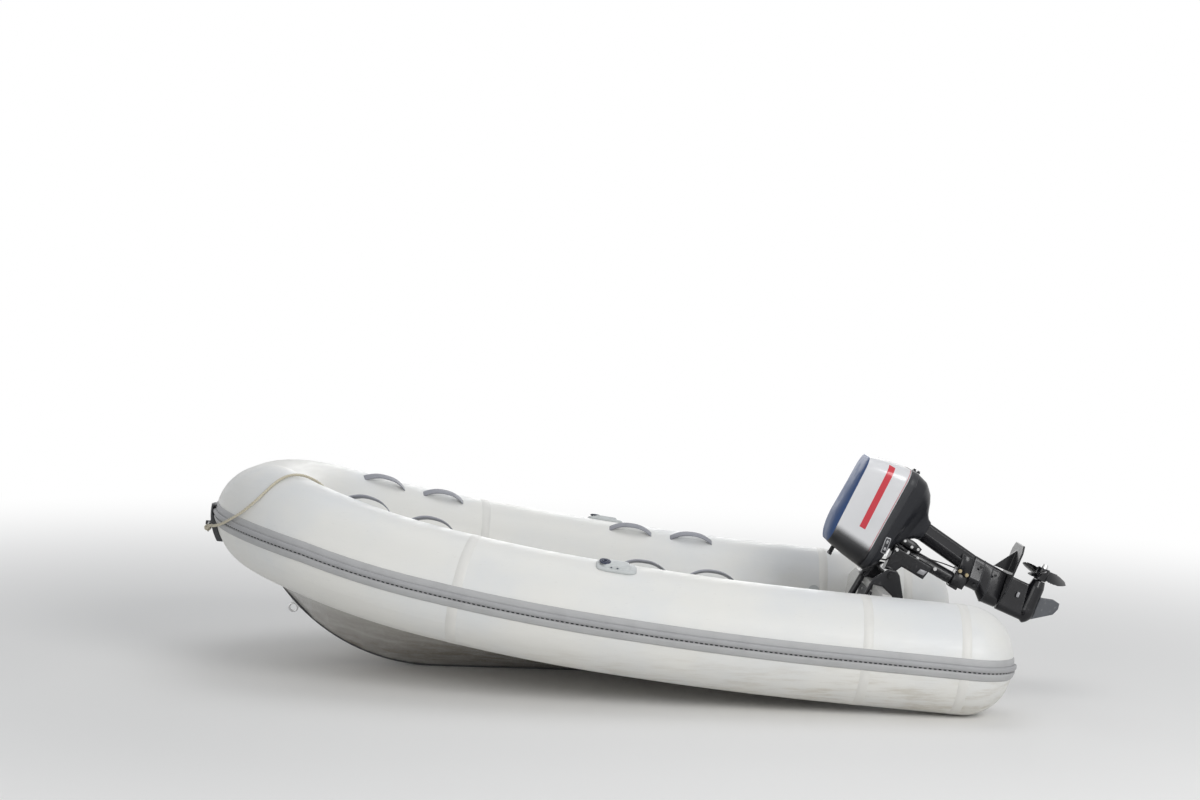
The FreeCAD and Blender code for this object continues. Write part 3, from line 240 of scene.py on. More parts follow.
def gelcoat(name, soilingAndShade):
    look = {"clean": (0.60, 0.59, 0.565), "stainAndShade": (0.17, 0.135, 0.095), "stainAndShadeHeights": (0.42, 0.02),
            "stainPatches": (0.10, 0.75, 4.0, 6.0, 0.65, (1, 2, 5)), "scratch": (0.42, 0.41, 0.38),
            "scratchPatches": (0.58, 0.72, 22.0, 5.0, 0.7, (1, 9, 30)), "scratchShare": 0.35,
            "roughness": (0.26, 0.55), "rippleNoise": (60.0, 2.0), "ripple": (0.0008, 0.25)}
    material, tree, shader = startMaterial(name, look["clean"], 0.28, coat=0.3)
    # Browner towards the keel: partly dirt, partly painted shade and painted reflection of sand on the
    # underside
    dirty = groundDirtAndShade(tree, *look["stainAndShadeHeights"], look["stainPatches"], soilingAndShade)
    stained = blendColours(tree, dirty, look["clean"], look["stainAndShade"])
    scratches = patches(tree, *look["scratchPatches"])
    worn = blendColours(tree, times(tree, scratches, look["scratchShare"]), stained, look["scratch"])
    paint(tree, shader, worn, scratches, *look["roughness"])
    bumpFrom(tree, shader, noiseOn(tree, *look["rippleNoise"]), *look["ripple"])
    return material


# Paint with faint dust, and chips in a second colour where one is given
def enamel(name, colour, roughness, wear=None, coat=0.3, gloss=0.5):
    look = {"markPatches": (0.40, 0.75, 11.0, 2.0, 0.5), "shiny": 0.9, "dull": 1.25,
            "dustPatches": (0.5, 0.85, 9.0, 5.0, 0.6), "dustShare": 0.4, "dustTint": (1.8, 0.003),
            "chipPatches": (0.58, 0.64, 46.0, 6.0, 0.75, (1, 3, 1)), "chipShare": 0.8,
            "rippleNoise": (24.0, 1.0), "ripple": (0.0008, 0.10)}
    material, tree, shader = startMaterial(name, colour, roughness, coat=coat, gloss=gloss)
    dust = times(tree, patches(tree, *look["dustPatches"]), look["dustShare"])
    tone = blendColours(tree, dust, colour, tinted(colour, *look["dustTint"]))
    if wear:
        chips = times(tree, patches(tree, *look["chipPatches"]), look["chipShare"])
        tone = blendColours(tree, chips, tone, wear)
    marks = patches(tree, *look["markPatches"])
    paint(tree, shader, tone, marks, roughness * look["shiny"], roughness * look["dull"])
    bumpFrom(tree, shader, noiseOn(tree, *look["rippleNoise"]), *look["ripple"])
    return material


# The cowl's silver fades to black at its front, with one plain red band and two fine stripes
def cowlPaint():
    look = {"silver": (0.73, 0.73, 0.74), "black": (0.012, 0.012, 0.014), "red": (0.56, 0.010, 0.028),
            "cloudPatches": (0.3, 0.8, 5.0, 3.0), "cloudTint": 0.90, "fade": (-0.054, -0.018),
            "fadeLean": 0.07, "speckleNoise": (620.0, 1.0), "speckle": 0.016,
            "band": (0.186, 0.214), "bandRise": 0.06, "bandEnds": (-0.395, -0.112),
            "redLine": (0.13326, 0.13596), "gapLine": (0.12476, 0.12926), "lineRise": 1.5,
            "roughness": (0.28, 0.46), "roughPatches": (0.4, 0.8, 38.0, 6.0, 0.7)}
    material, tree, shader = startMaterial("silver cowl enamel", look["silver"], 0.34, coat=0.6)
    point = splitPoint(tree, motorPoint(tree))
    forward = point["X"]
    height = point["Z"]
    clouded = tinted(look["silver"], look["cloudTint"])
    tone = blendColours(tree, patches(tree, *look["cloudPatches"]), look["silver"], clouded)
    band = stripe(tree, shear(tree, forward, height, look["bandRise"]), *look["band"])
    marked = times(tree, band, stripe(tree, forward, *look["bandEnds"]))
    tone = blendColours(tree, marked, tone, look["red"])
    parting = shear(tree, forward, height, math.tan(math.radians(look["lineRise"])))
    for line, colour in (("redLine", "red"), ("gapLine", "black")):
        tone = blendColours(tree, stripe(tree, parting, *look[line]), tone, look[colour])
    front = shear(tree, height, forward, look["fadeLean"])
    speckled = shear(tree, noiseOn(tree, *look["speckleNoise"]), front, look["speckle"])
    tone = blendColours(tree, ramp(tree, speckled, *look["fade"]), tone, look["black"])
    paint(tree, shader, tone, patches(tree, *look["roughPatches"]), *look["roughness"])
    return material


def steel(name, colour, roughness):
    look = {"brushNoise": (120.0, 3.0, 0.55, (1, 1, 12)), "bright": 0.7, "dull": 1.4,
            "stainPatches": (0.55, 0.8, 45.0, 5.0, 0.7), "stainShare": 0.5, "stainTint": 0.5}
    material, tree, shader = startMaterial(name, colour, roughness, metallic=1.0)
    stained = times(tree, patches(tree, *look["stainPatches"]), look["stainShare"])
    tone = blendColours(tree, stained, colour, tinted(colour, look["stainTint"]))
    brushed = noiseOn(tree, *look["brushNoise"])
    paint(tree, shader, tone, brushed, roughness * look["bright"], roughness * look["dull"])
    return material


def cordMaterial():
    look = {"light": (0.74, 0.69, 0.56), "shade": (0.52, 0.47, 0.36), "shadeEdges": (0.3, 0.7),
            "grime": (0.30, 0.26, 0.19), "grimePatches": (0.5, 0.8, 6.0, 4.0), "grimeShare": 0.6,
            "fibreNoise": (320.0, 4.0), "fibre": (0.0008, 0.8)}
    material, tree, shader = startMaterial("laid cord", look["light"], 0.8)
    fibre = noiseOn(tree, *look["fibreNoise"])
    tone = blendColours(tree, ramp(tree, fibre, *look["shadeEdges"]), look["light"], look["shade"])
    grime = times(tree, patches(tree, *look["grimePatches"]), look["grimeShare"])
    tree.links.new(blendColours(tree, grime, tone, look["grime"]), shader.inputs["Base Color"])
    bumpFrom(tree, shader, fibre, *look["fibre"])
    return material


finishes = {
    "fabric": boatFabric(),
    "tape": mouldedRubber("seam tape fabric", (0.725, 0.715, 0.68), 0.46, 420.0, 0.96),
    "flange": mouldedRubber("strake flange rubber", (0.43, 0.43, 0.43), faded=0.92),
    "bead": mouldedRubber("strake bead rubber", (0.36, 0.36, 0.365), faded=0.92),
    # Near-black groove colour: painted shade in the recess under the bead
    "groove": mouldedRubber("strake groove painted shade", (0.012, 0.013, 0.014), 0.7),
    "handle": mouldedRubber("handle rubber", (0.29, 0.295, 0.325), 0.5),
    "pad": mouldedRubber("pale moulded rubber", (0.54, 0.56, 0.555), 0.42, 120.0, 0.9),
    # Dark blue; on the oarlock collars it is partly painted shade round the sockets
    "socket": mouldedRubber("dark blue socket plastic", (0.020, 0.028, 0.060), 0.45),
    "dark": mouldedRubber("dark moulded plastic", (0.035, 0.036, 0.04), 0.5),
    "rim": mouldedRubber("cowl gasket rubber", (0.032, 0.033, 0.037), 0.42, gloss=0.35),
    "pan": mouldedRubber("lower cowl plastic", (0.016, 0.017, 0.021), 0.30, gloss=0.32),
    "grip": mouldedRubber("ribbed grip rubber", (0.016, 0.016, 0.017), 0.62),
    # The hull's strong darkening low down is partly painted shade and painted reflection of sand
    "gelcoat": gelcoat("hull gelcoat", 0.85),
    "deck": gelcoat("deck gelcoat", 0.22),
    "enamel": enamel("black enamel", (0.009, 0.009, 0.011), 0.22, coat=0.15, gloss=0.35),
    "casting": enamel("black casting enamel", (0.014, 0.014, 0.016), 0.30, (0.05, 0.05, 0.05), 0.15, 0.35),
    "silver": cowlPaint(),
    "lid": enamel("blue black lid enamel", (0.045, 0.085, 0.20), 0.40, coat=0.0, gloss=0.14),
    "latch": enamel("pale latch enamel", (0.34, 0.34, 0.35), 0.35),
    "skeg": enamel("worn grey enamel", (0.085, 0.09, 0.10), 0.40, wear=(0.20, 0.205, 0.21)),
    "steel": steel("brushed stainless", (0.60, 0.60, 0.60), 0.28),
    "brass": steel("dull brass", (0.40, 0.34, 0.22), 0.42),
    "cord": cordMaterial(),
}
nodeFinish = {
    "tube_port": "fabric", "tube_starboard": "fabric", "tube_bow": "fabric", "hull_shell": "gelcoat",
    "deck_liner": "deck", "transom_board": "deck", "keel_strip": "dark", "drain_plug": "dark",
    "inflation_valves": "pad", "motor_pad_outer": "dark", "motor_pad_inner": "dark",
    "stern_tow_eyes": "steel", "bow_ring": "steel", "stem_eye": "steel", "tilt_pin": "steel",
    "clamp_screws": "steel", "propeller_nut": "steel", "tiller_grip": "grip", "oarlock_bushes": "socket",
}
for name, node in cadNodes.items():
    node.data.materials.clear()
    node.data.materials.append(finishes[nodeFinish.get(name, "enamel")])
print("materials made:", len(finishes))


# Small tools for meshes; points closer than these, in metres, become one
closest = {"cast": 0.00002, "built": 0.00005}


def finished(name, mesh, finish, body, smooth=True, replaced=()):
    built = linked(name, mesh)
    mesh.materials.clear()
    mesh.materials.append(finishes[finish])
    for face in mesh.polygons:
        face.use_smooth = smooth
    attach(built, body)
    if replaced:
        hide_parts(*replaced)
    return built


def bakeMesh(work, name):
    mesh = bpy.data.meshes.new(name)
    work.to_mesh(mesh)
    work.free()
    return mesh


# Adds the other side of the boat, its faces still outwards
def addMirrored(work):
    copy = bmesh.ops.duplicate(work, geom=work.verts[:] + work.edges[:] + work.faces[:])["geom"]
    for part in copy:
        if isinstance(part, bmesh.types.BMVert):
            part.co.y = -part.co.y
    bmesh.ops.reverse_faces(work, faces=[part for part in copy if isinstance(part, bmesh.types.BMFace)])


def meshFrom(name, points, faces, place=None, mirrored=False, merged=True):
    work = bmesh.new()
    corners = [work.verts.new(place @ Vector(point) if place else point) for point in points]
    for face in faces:
        work.faces.new([corners[index] for index in face])
    if mirrored:
        addMirrored(work)
    if merged:
        bmesh.ops.remove_doubles(work, verts=work.verts[:], dist=closest["built"])
    bmesh.ops.recalc_face_normals(work, faces=work.faces[:])
    return bakeMesh(work, name)


def plainMesh(holder, name):
    bpy.context.view_layer.update()
    shown = holder.evaluated_get(bpy.context.evaluated_depsgraph_get())
    mesh = bpy.data.meshes.new_from_object(shown)
    mesh.name = name
    bpy.data.objects.remove(holder)
    return mesh


# A cast or moulded piece: its CAD solid, the edges rounded by a fine remesh and smoothing
def castBody(name, nodeName, finish, body, voxel, rounds):
    work = bmesh.new()
    work.from_mesh(cadNodes[nodeName].data)
    bmesh.ops.remove_doubles(work, verts=work.verts[:], dist=closest["cast"])
    rough = bakeMesh(work, name + "Rough")
    holder = linked(name + "Rough", rough)
    remesh = holder.modifiers.new("round", "REMESH")
    remesh.mode = "VOXEL"
    remesh.voxel_size = voxel
    smooth = holder.modifiers.new("soften", "SMOOTH")
    smooth.factor = 0.5
    smooth.iterations = rounds
    finished(name, plainMesh(holder, name), finish, body, replaced=(nodeName,))
    bpy.data.meshes.remove(rough)


def mm(x, y, z):
    return Vector((x, y, z)) * 0.001


def toSide(point, side):
    return Vector((point.x, side * point.y, point.z))


# The angles of a full turn in even steps
def turns(count):
    return [2 * math.pi * step / count for step in range(count)]


# Pulls a circle's cosine or sine out towards a rounded square
def squared(value, power):
    return math.copysign(abs(value) ** power, value)


# The faces between a ring of points, which starts at base, and the one a step further on
def bandFaces(base, count, step):
    faces = []
    for index in range(count):
        following = (index + 1) % count
        faces.append((base + index, base + following, base + step + following, base + step + index))
    return faces


def tubeFaces(bands, count):
    return [face for row in range(bands) for face in bandFaces(row * count, count, count)]


def aheadAt(points, index):
    return (points[min(index + 1, len(points) - 1)] - points[max(index - 1, 0)]).normalized()


# Rounded oblong across the motor, in its own millimetres; slope lifts it to the rear of its hinge
def oblong(front, rear, half, height, cornerFront, cornerRear, slope=0.0, hinge=-200, arcSteps=7,
           sideSteps=6):
    corners = [(front, half, cornerFront, 0), (front, -half, cornerFront, -90),
               (rear, -half, cornerRear, 180), (rear, half, cornerRear, 90)]
    outline = []
    for x, y, corner, turn in corners:
        inwards = math.copysign(corner, x - rear if x == front else -1)
        middle = Vector((x - inwards, y - math.copysign(corner, y)))
        for step in range(arcSteps + 1):
            angle = math.radians(turn + 90 - 90 * step / arcSteps)
            outline.append(middle + Vector((math.cos(angle), math.sin(angle))) * corner)
    filled = []
    for index, point in enumerate(outline):
        following = outline[(index + 1) % len(outline)]
        filled.append(point)
        if (index + 1) % (arcSteps + 1) == 0:
            filled += [point.lerp(following, step / sideSteps) for step in range(1, sideSteps)]
    lift = math.tan(math.radians(slope))
    return [mm(point.x, point.y, height - lift * (point.x - hinge)) for point in filled]


# Oblongs between the given rows, swollen a little half way
def ringsFor(rows, between=3, swell=0.0):
    rings = []
    for first, second in zip(rows, rows[1:]):
        for step in range(between):
            share = step / between
            row = [a + (b - a) * share for a, b in zip(first, second)]
            bulge = swell * 4 * share * (1 - share)
            row[0] += bulge
            row[1] -= bulge
            row[2] += bulge
            rings.append(oblong(*row))
    rings.append(oblong(*rows[-1]))
    return rings


# A skin over rings of points, with a fan over each end if closed
def loftRings(name, rings, place, closed=True, mirrored=False):
    count = len(rings[0])
    points = [point for ring in rings for point in ring]
    faces = tubeFaces(len(rings) - 1, count)
    ends = [(rings[0], 0), (rings[-1], (len(rings) - 1) * count)] if closed else []
    for ring, base in ends:
        points.append(sum(ring, Vector()) / count)
        faces += [(base + index, base + (index + 1) % count, len(points) - 1) for index in range(count)]
    return meshFrom(name, points, faces, place, mirrored)


# A round bar along a list of points
def barAlong(name, points, radius, place, sides=12):
    rings = []
    for index, point in enumerate(points):
        ahead = aheadAt(points, index)
        side = ahead.cross(up if abs(ahead.z) < 0.9 else Vector((0, 1, 0))).normalized()
        top = side.cross(ahead)
        rings.append([point + (side * math.cos(turn) + top * math.sin(turn)) * radius
                      for turn in turns(sides)])
    return loftRings(name, rings, place)


# Geometry Nodes trees: studs at points, and lugs along a run. Each piece's own sizes come in this order
studSizes = {"Head radius": 0.006, "Head height": 0.004, "Washer radius": 0.008, "Washer height": 0.0016}
lugSizes = {"Spacing": 0.018, "Lug length": 0.009, "Lug width": 0.006, "Lug height": 0.004}
roundSides = {"washer": 16, "ring": 24}


def startTree(name, sizes):
    tree = bpy.data.node_groups.new(name, "GeometryNodeTree")
    tree.interface.new_socket("Geometry", in_out="INPUT", socket_type="NodeSocketGeometry")
    identifiers = []
    for label, value in sizes.items():
        socket = tree.interface.new_socket(label, in_out="INPUT", socket_type="NodeSocketFloat")
        socket.default_value = value
        identifiers.append(socket.identifier)
    tree.interface.new_socket("Geometry", in_out="OUTPUT", socket_type="NodeSocketGeometry")
    return tree, tree.nodes.new("NodeGroupInput").outputs, identifiers


def endTree(tree, points, instance, turn, finish):
    placed = addNode(tree, "GeometryNodeInstanceOnPoints", Points=points, Instance=instance, Rotation=turn)
    realized = addNode(tree, "GeometryNodeRealizeInstances", Geometry=placed.outputs[0])
    painted = addNode(tree, "GeometryNodeSetMaterial", Geometry=realized.outputs[0],
                      Material=finishes[finish])
    tree.links.new(painted.outputs[0], tree.nodes.new("NodeGroupOutput").inputs[0])


# Runs a tree on a mesh and leaves a plain mesh
def grown(name, mesh, tree, identifiers, sizes):
    holder = linked(name, mesh)
    modifier = holder.modifiers.new("grow", "NODES")
    modifier.node_group = tree
    for identifier, value in zip(identifiers, sizes):
        modifier[identifier] = value
    return plainMesh(holder, name)


def studTree(finish, sides):
    tree, entry, identifiers = startTree("studs at points " + finish, studSizes)
    points = addNode(tree, "GeometryNodeMeshToPoints", Mesh=entry["Geometry"])
    joined = addNode(tree, "GeometryNodeJoinGeometry")
    for label, around in (("Head", sides), ("Washer", roundSides["washer"])):
        height = entry[label + " height"]
        disc = addNode(tree, "GeometryNodeMeshCylinder", Vertices=around, Radius=entry[label + " radius"],
                       Depth=height).outputs["Mesh"]
        offset = addNode(tree, "ShaderNodeCombineXYZ", Z=times(tree, height, 0.5)).outputs[0]
        raised = addNode(tree, "GeometryNodeTransform", Geometry=disc, Translation=offset)
        tree.links.new(raised.outputs[0], joined.inputs[0])
    facing = addNode(tree, "GeometryNodeInputNamedAttribute", data_type="FLOAT_VECTOR", Name="facing")
    turn = addNode(tree, "FunctionNodeAlignRotationToVector", axis="Z", Vector=facing.outputs["Attribute"])
    endTree(tree, points.outputs[0], joined.outputs[0], turn.outputs[0], finish)
    return tree, identifiers


def buildStuds(name, spots, finish, body, sizes, sides=6):
    mesh = bpy.data.meshes.new(name)
    mesh.from_pydata([spot for spot, facing in spots], [], [])
    ways = mesh.attributes.new("facing", "FLOAT_VECTOR", "POINT")
    for index, (spot, facing) in enumerate(spots):
        ways.data[index].vector = facing
    finished(name, grown(name, mesh, *studTree(finish, sides), sizes), finish, body, smooth=False)


def lugTree(finish, ringed):
    tree, entry, identifiers = startTree("lugs along a run " + finish, lugSizes)
    length = entry["Lug length"]
    width = entry["Lug width"]
    curve = addNode(tree, "GeometryNodeMeshToCurve", Mesh=entry["Geometry"]).outputs[0]
    even = addNode(tree, "GeometryNodeResampleCurve", mode="LENGTH", Curve=curve, Length=entry["Spacing"])
    tangent = addNode(tree, "GeometryNodeInputTangent").outputs[0]
    turn = addNode(tree, "FunctionNodeAlignRotationToVector", axis="Z" if ringed else "X", Vector=tangent)
    if ringed:
        lug = addNode(tree, "GeometryNodeMeshCylinder", Vertices=roundSides["ring"], Radius=width,
                      Depth=length)
    else:
        extent = addNode(tree, "ShaderNodeCombineXYZ", X=length, Y=entry["Lug height"], Z=width)
        lug = addNode(tree, "GeometryNodeMeshCube", Size=extent.outputs[0])
    endTree(tree, even.outputs[0], lug.outputs["Mesh"], turn.outputs[0], finish)
    return tree, identifiers


def buildLugs(name, runs, finish, body, sizes, ringed=False):
    points = []
    edges = []
    for run in runs:
        edges += [(len(points) + index, len(points) + index + 1) for index in range(len(run) - 1)]
        points += run
    mesh = bpy.data.meshes.new(name)
    mesh.from_pydata(points, edges, [])
    finished(name, grown(name, mesh, *lugTree(finish, ringed), sizes), finish, body, smooth=False)


# The tubes' axis: straight runs joined by tangent arcs, in the boat's level frame
tubes = {"radius": 0.215, "endRound": 0.190, "overhang": 0.500, "side": 0.661, "height": 0.237,
         "corners": [(0.570, 0.661, 0.237), (1.352, 0.655, 0.279), (1.983, 0.546, 0.348),
                     (2.435, 0.358, 0.455)],
         "tip": (2.506, 0.0, 0.441), "pastTip": 0.060, "sharedRun": 0.5, "endRun": 0.999,
         "arcStep": 0.03, "runStep": 0.06}


def arcRun(corners, step):
    found = [(corners[0], (corners[1] - corners[0]).normalized())]
    for index in range(1, len(corners) - 1):
        before, corner, after = corners[index - 1:index + 2]
        shareBefore = tubes["sharedRun"] if index > 1 else tubes["endRun"]
        shareAfter = tubes["sharedRun"] if index < len(corners) - 2 else tubes["endRun"]
        reach = min((before - corner).length * shareBefore, (after - corner).length * shareAfter)
        back = (before - corner).normalized()
        ahead = (after - corner).normalized()
        half = (math.pi - back.angle(ahead)) / 2
        radius = reach / math.tan(half)
        middle = corner + (back + ahead).normalized() * (radius / math.cos(half))
        start = corner + back * reach - middle
        axis = start.cross(-back).normalized()
        count = max(2, round(2 * half * radius / step))
        for turn in range(count + 1):
            spin = Matrix.Rotation(2 * half * turn / count, 3, axis)
            found.append((middle + spin @ start, spin @ -back))
    last = found[-1][0]
    found.append((corners[-1], (corners[-1] - last).normalized()))
    return found


def fillRun(rows, step):
    filled = [rows[0]]
    for (first, firstWay), (second, secondWay) in zip(rows, rows[1:]):
        count = max(1, round((second - first).length / step))
        for part in range(1, count + 1):
            share = part / count
            filled.append((first.lerp(second, share), firstWay.lerp(secondWay, share).normalized()))
    return filled


tip = Vector(tubes["tip"])
tubeCorners = [Vector(corner) for corner in tubes["corners"]]
sternStart = Vector((tubes["endRound"] - tubes["overhang"], tubes["side"], tubes["height"]))
beyondTip = tip + (tip - tubeCorners[-1]).normalized() * tubes["pastTip"]
axisRows = fillRun(arcRun([sternStart] + tubeCorners + [beyondTip], tubes["arcStep"]), tubes["runStep"])


# The axis point and its run at a distance forward of the transom
def axisAt(forward):
    for (first, firstWay), (second, secondWay) in zip(axisRows, axisRows[1:]):
        if first.x <= forward <= second.x:
            share = (forward - first.x) / (second.x - first.x)
            return first.lerp(second, share), firstWay.lerp(secondWay, share).normalized()
    return axisRows[0]


# Axes on a tube's skin: along it, across and outwards, at an angle from its top
def tubeFrame(forward, angle, radius):
    centre, along = axisAt(forward)
    side = up.cross(along).normalized()
    top = along.cross(side).normalized()
    lean = math.radians(angle)
    out = top * math.cos(lean) + side * math.sin(lean)
    across = out.cross(along)
    place = Matrix((along, across, out)).transposed().to_4x4()
    return boatPlace @ Matrix.Translation(centre + out * radius) @ place


# Rub strake on the widest part of the tubes: flange, bead, groove painted near-black as shade, with moulded
# teeth, and lip
strake = {"half": 0.040, "inside": 0.008, "beadOut": 0.006, "beadProud": 0.008, "beadLevel": 0.004,
          "beadHalf": 0.011, "endTurn": 78, "turnStep": 6, "mitreFrom": 0.10, "teethOut": 0.0030,
          "teethLevel": -0.011, "teeth": (0.019, 0.008, 0.010, 0.0025)}


# Each row of a strake sweep: centre, outward way and run, from the stern's turn to the bow's mitre
def strakeRows():
    rows = []
    hub = sternStart + Vector((0, tubes["radius"] - tubes["endRound"], 0))
    for turn in range(strake["endTurn"], 0, -strake["turnStep"]):
        spin = Matrix.Rotation(math.radians(turn), 3, "Z")
        rows.append((hub + spin @ (sternStart - hub), spin @ Vector((0, 1, 0)), None))
    for centre, along in axisRows[:-1]:
        if centre.y > strake["mitreFrom"]:
            rows.append((centre, up.cross(along).normalized(), along))
    return rows


def sweepAlong(name, rows, profile):
    points = []
    for centre, side, along in rows:
        points += [centre + side * out + up * height for out, height in profile]
    centre, side, along = rows[-1]
    for out, height in profile:
        corner = centre + side * out + up * height
        points.append(corner - along * (corner.y / along.y))
    faces = tubeFaces(len(rows), len(profile)) + [tuple(range(len(profile)))]
    return meshFrom(name, points, faces, boatPlace, mirrored=True)


def buildStrake():
    radius = tubes["radius"]
    reach = math.sqrt(radius ** 2 - strake["half"] ** 2)
    inside = reach - strake["inside"]
    rows = strakeRows()
    bead = [(radius + strake["beadOut"] + strake["beadProud"] * math.cos(math.radians(turn)),
             strake["beadLevel"] + strake["beadHalf"] * math.sin(math.radians(turn)))
            for turn in range(90, -91, -15)]
    pieces = {
        # piece: finish, and its section's corners as distance out and height
        "strake_flange": ("flange", [
            (inside, 0.041), (reach + 0.0025, 0.041), (reach + 0.0045, 0.037), (radius + 0.003, 0.018),
            (radius + 0.003, 0.012), (inside, 0.012)]),
        "strake_bead": ("bead", [(inside, 0.015)] + bead + [(inside, -0.007)]),
        "strake_groove": ("groove", [
            (inside, -0.006), (radius + 0.0035, -0.006), (radius + 0.0035, -0.016), (inside, -0.016)]),
        "strake_lip": ("flange", [
            (inside, -0.012), (radius + 0.006, -0.012), (radius + 0.009, -0.0145), (radius + 0.009, -0.020),
            (reach + 0.0055, -0.037), (reach + 0.0025, -0.041), (inside, -0.041)]),
    }
    for name, (finish, section) in pieces.items():
        band = sweepAlong(name, rows, section)
        finished(name, band, finish, "boat", replaced=("rub_strake",))
    print("strake built:", len(pieces), "bands")


# The groove's teeth break its line of painted shade into dashes
def buildGrooveTeeth():
    run = [centre + side * (tubes["radius"] + strake["teethOut"]) + up * strake["teethLevel"]
           for centre, side, along in strakeRows()]
    runs = [[boatPlace @ toSide(point, side) for point in run] for side in boatSides.values()]
    buildLugs("strake_teeth", runs, "bead", "boat", strake["teeth"])


# Fabric tapes over the tubes' seams
def buildSeamTapes():
    tape = {"forwards": (-0.28, 0.10, 1.65), "width": 0.038, "steps": 72,
            # its section: share of the width and lift
            "section": ((-0.5, 0.0), (-0.47, 0.0009), (0.47, 0.0009), (0.5, 0.0))}
    for number, forward in enumerate(tape["forwards"], 1):
        rings = []
        for reach, lift in tape["section"]:
            centre, along = axisAt(forward + reach * tape["width"])
            side = up.cross(along).normalized()
            top = along.cross(side)
            rings.append([centre + (top * math.cos(turn) + side * math.sin(turn)) * (tubes["radius"] + lift)
                          for turn in turns(tape["steps"])])
        name = "seam_tape_%d" % number
        band = loftRings(name, rings, boatPlace, closed=False, mirrored=True)
        finished(name, band, "tape", "boat")
    print("seam tapes built:", len(tape["forwards"]))


# A strip or pad laid on a tube: its rows run across, each point lifted off the skin
def skinPad(name, rows, place=None, mirrored=False):
    count = len(rows[0])
    points = [point for row in rows for point in row]
    faces = tubeFaces(len(rows) - 1, count)
    faces += [tuple(range(count)), tuple(range((len(rows) - 1) * count, len(rows) * count))]
    return meshFrom(name, points, faces, place, mirrored)


# Grab handles: flat straps that arch off the tube, blunt in front and thinning aft
handles = {"forwards": (2.132, 1.852, 0.979, 0.702), "angle": -24, "length": 0.192, "rise": 0.035,
           "width": 0.032, "endFlare": 0.12, "frontThick": 0.011, "aftThick": 0.0045, "crown": 2.4,
           "squareness": 0.45, "around": 16, "steps": 26}


def handleRows(forward):
    rows = []
    for step in range(handles["steps"] + 1):
        share = 2 * step / handles["steps"] - 1
        place = tubeFrame(forward + share * handles["length"] / 2, handles["angle"], tubes["radius"])
        thick = handles["aftThick"] + (handles["frontThick"] - handles["aftThick"]) * (share + 1) / 2
        lift = handles["rise"] * (1 - abs(share) ** handles["crown"]) - thick * 0.5
        flare = 1 + handles["endFlare"] - handles["endFlare"] * math.cos(share * math.pi / 2)
        half = handles["width"] / 2 * flare
        row = []
        for angle in turns(handles["around"]):
            across = squared(math.cos(angle), handles["squareness"]) * half
            rise = squared(math.sin(angle), handles["squareness"]) * thick / 2
            row.append(place @ Vector((0, across, lift + rise)))
        rows.append(row)
    return rows


def buildHandles():
    for label, side in boatSides.items():
        for number, forward in enumerate(handles["forwards"], 1):
            name = "grab_handle_%s_%d" % (label, number)
            mesh = skinPad(name, handleRows(forward), Matrix.Scale(side, 4, (0, 1, 0)))
            finished(name, mesh, "handle", "boat", replaced=("grab_handles_" + label,))
    print("handles built:", 2 * len(handles["forwards"]))


# Oarlock pads: rounded oblongs with a raised table, a dark socket at the front ringed by a dark collar that
# is partly painted shade, and a moulded arrow aft
oarPad = {
    "forward": 1.090, "angle": 16, "length": 0.158, "width": 0.088, "squareness": 4.2, "rings": 40,
    "around": 72, "rimWidth": 0.16, "rimLift": 0.004, "rimCrown": 0.007, "rise": 0.020, "backLift": 0.0002,
    "tableEdge": (0.58, 0.72), "socket": (0.046, 0.0), "socketRadius": 0.0145, "socketDepth": 0.010,
    "seatRim": 0.004, "seatRise": 0.001, "arrow": (-0.060, -0.018), "arrowSlope": 0.45, "arrowHalf": 0.004,
    "arrowRise": 0.0014, "plugs": ((0.020, 0.031), (-0.004, 0.031)), "plugSink": 0.006,
    "plug": (0.0030, 0.0012, 0.0038, 0.0006), "shadeCollarSteps": 40,
    # the dark collar's section, partly painted shade round the socket: radius and lift
    "shadeCollar": [(0.0135, 0.0215), (0.0185, 0.0228), (0.0222, 0.0214), (0.0232, 0.0185), (0.0135, 0.0185)],
}


def padPoint(along, across, lift):
    angle = oarPad["angle"] + math.degrees(across / tubes["radius"])
    return tubeFrame(oarPad["forward"] + along, angle, tubes["radius"]) @ Vector((0, 0, lift))


def padHeight(share, along, across):
    edge = min(1, (1 - share) / oarPad["rimWidth"])
    lift = oarPad["rimLift"] + oarPad["rimCrown"] * math.sqrt(edge * (2 - edge))
    inner, outer = oarPad["tableEdge"]
    table = max(0, min(1, (outer - share) / (outer - inner)))
    lift += (oarPad["rise"] - oarPad["rimLift"] - oarPad["rimCrown"]) * table * table * (3 - 2 * table)
    away = math.hypot(along - oarPad["socket"][0], across - oarPad["socket"][1])
    if away < oarPad["socketRadius"] + oarPad["seatRim"]:
        lift = oarPad["rise"] + oarPad["seatRise"]
    if away < oarPad["socketRadius"]:
        lift -= oarPad["socketDepth"]
    start, end = oarPad["arrow"]
    rib = abs(abs(across) - (along - start) * oarPad["arrowSlope"])
    if start < along < end and rib < oarPad["arrowHalf"]:
        lift += oarPad["arrowRise"] * (1 - rib / oarPad["arrowHalf"])
    return lift


# The pad's edge shrunk to a share of its size
def padOutline(share):
    power = 2 / oarPad["squareness"]
    return [(squared(math.cos(angle), power) * oarPad["length"] / 2 * share,
             squared(math.sin(angle), power) * oarPad["width"] / 2 * share)
            for angle in turns(oarPad["around"])]


def shadeCollarRing(radius, lift, side):
    start = oarPad["socket"][0]
    return [toSide(padPoint(start + radius * math.cos(turn), radius * math.sin(turn), lift), side)
            for turn in turns(oarPad["shadeCollarSteps"])]


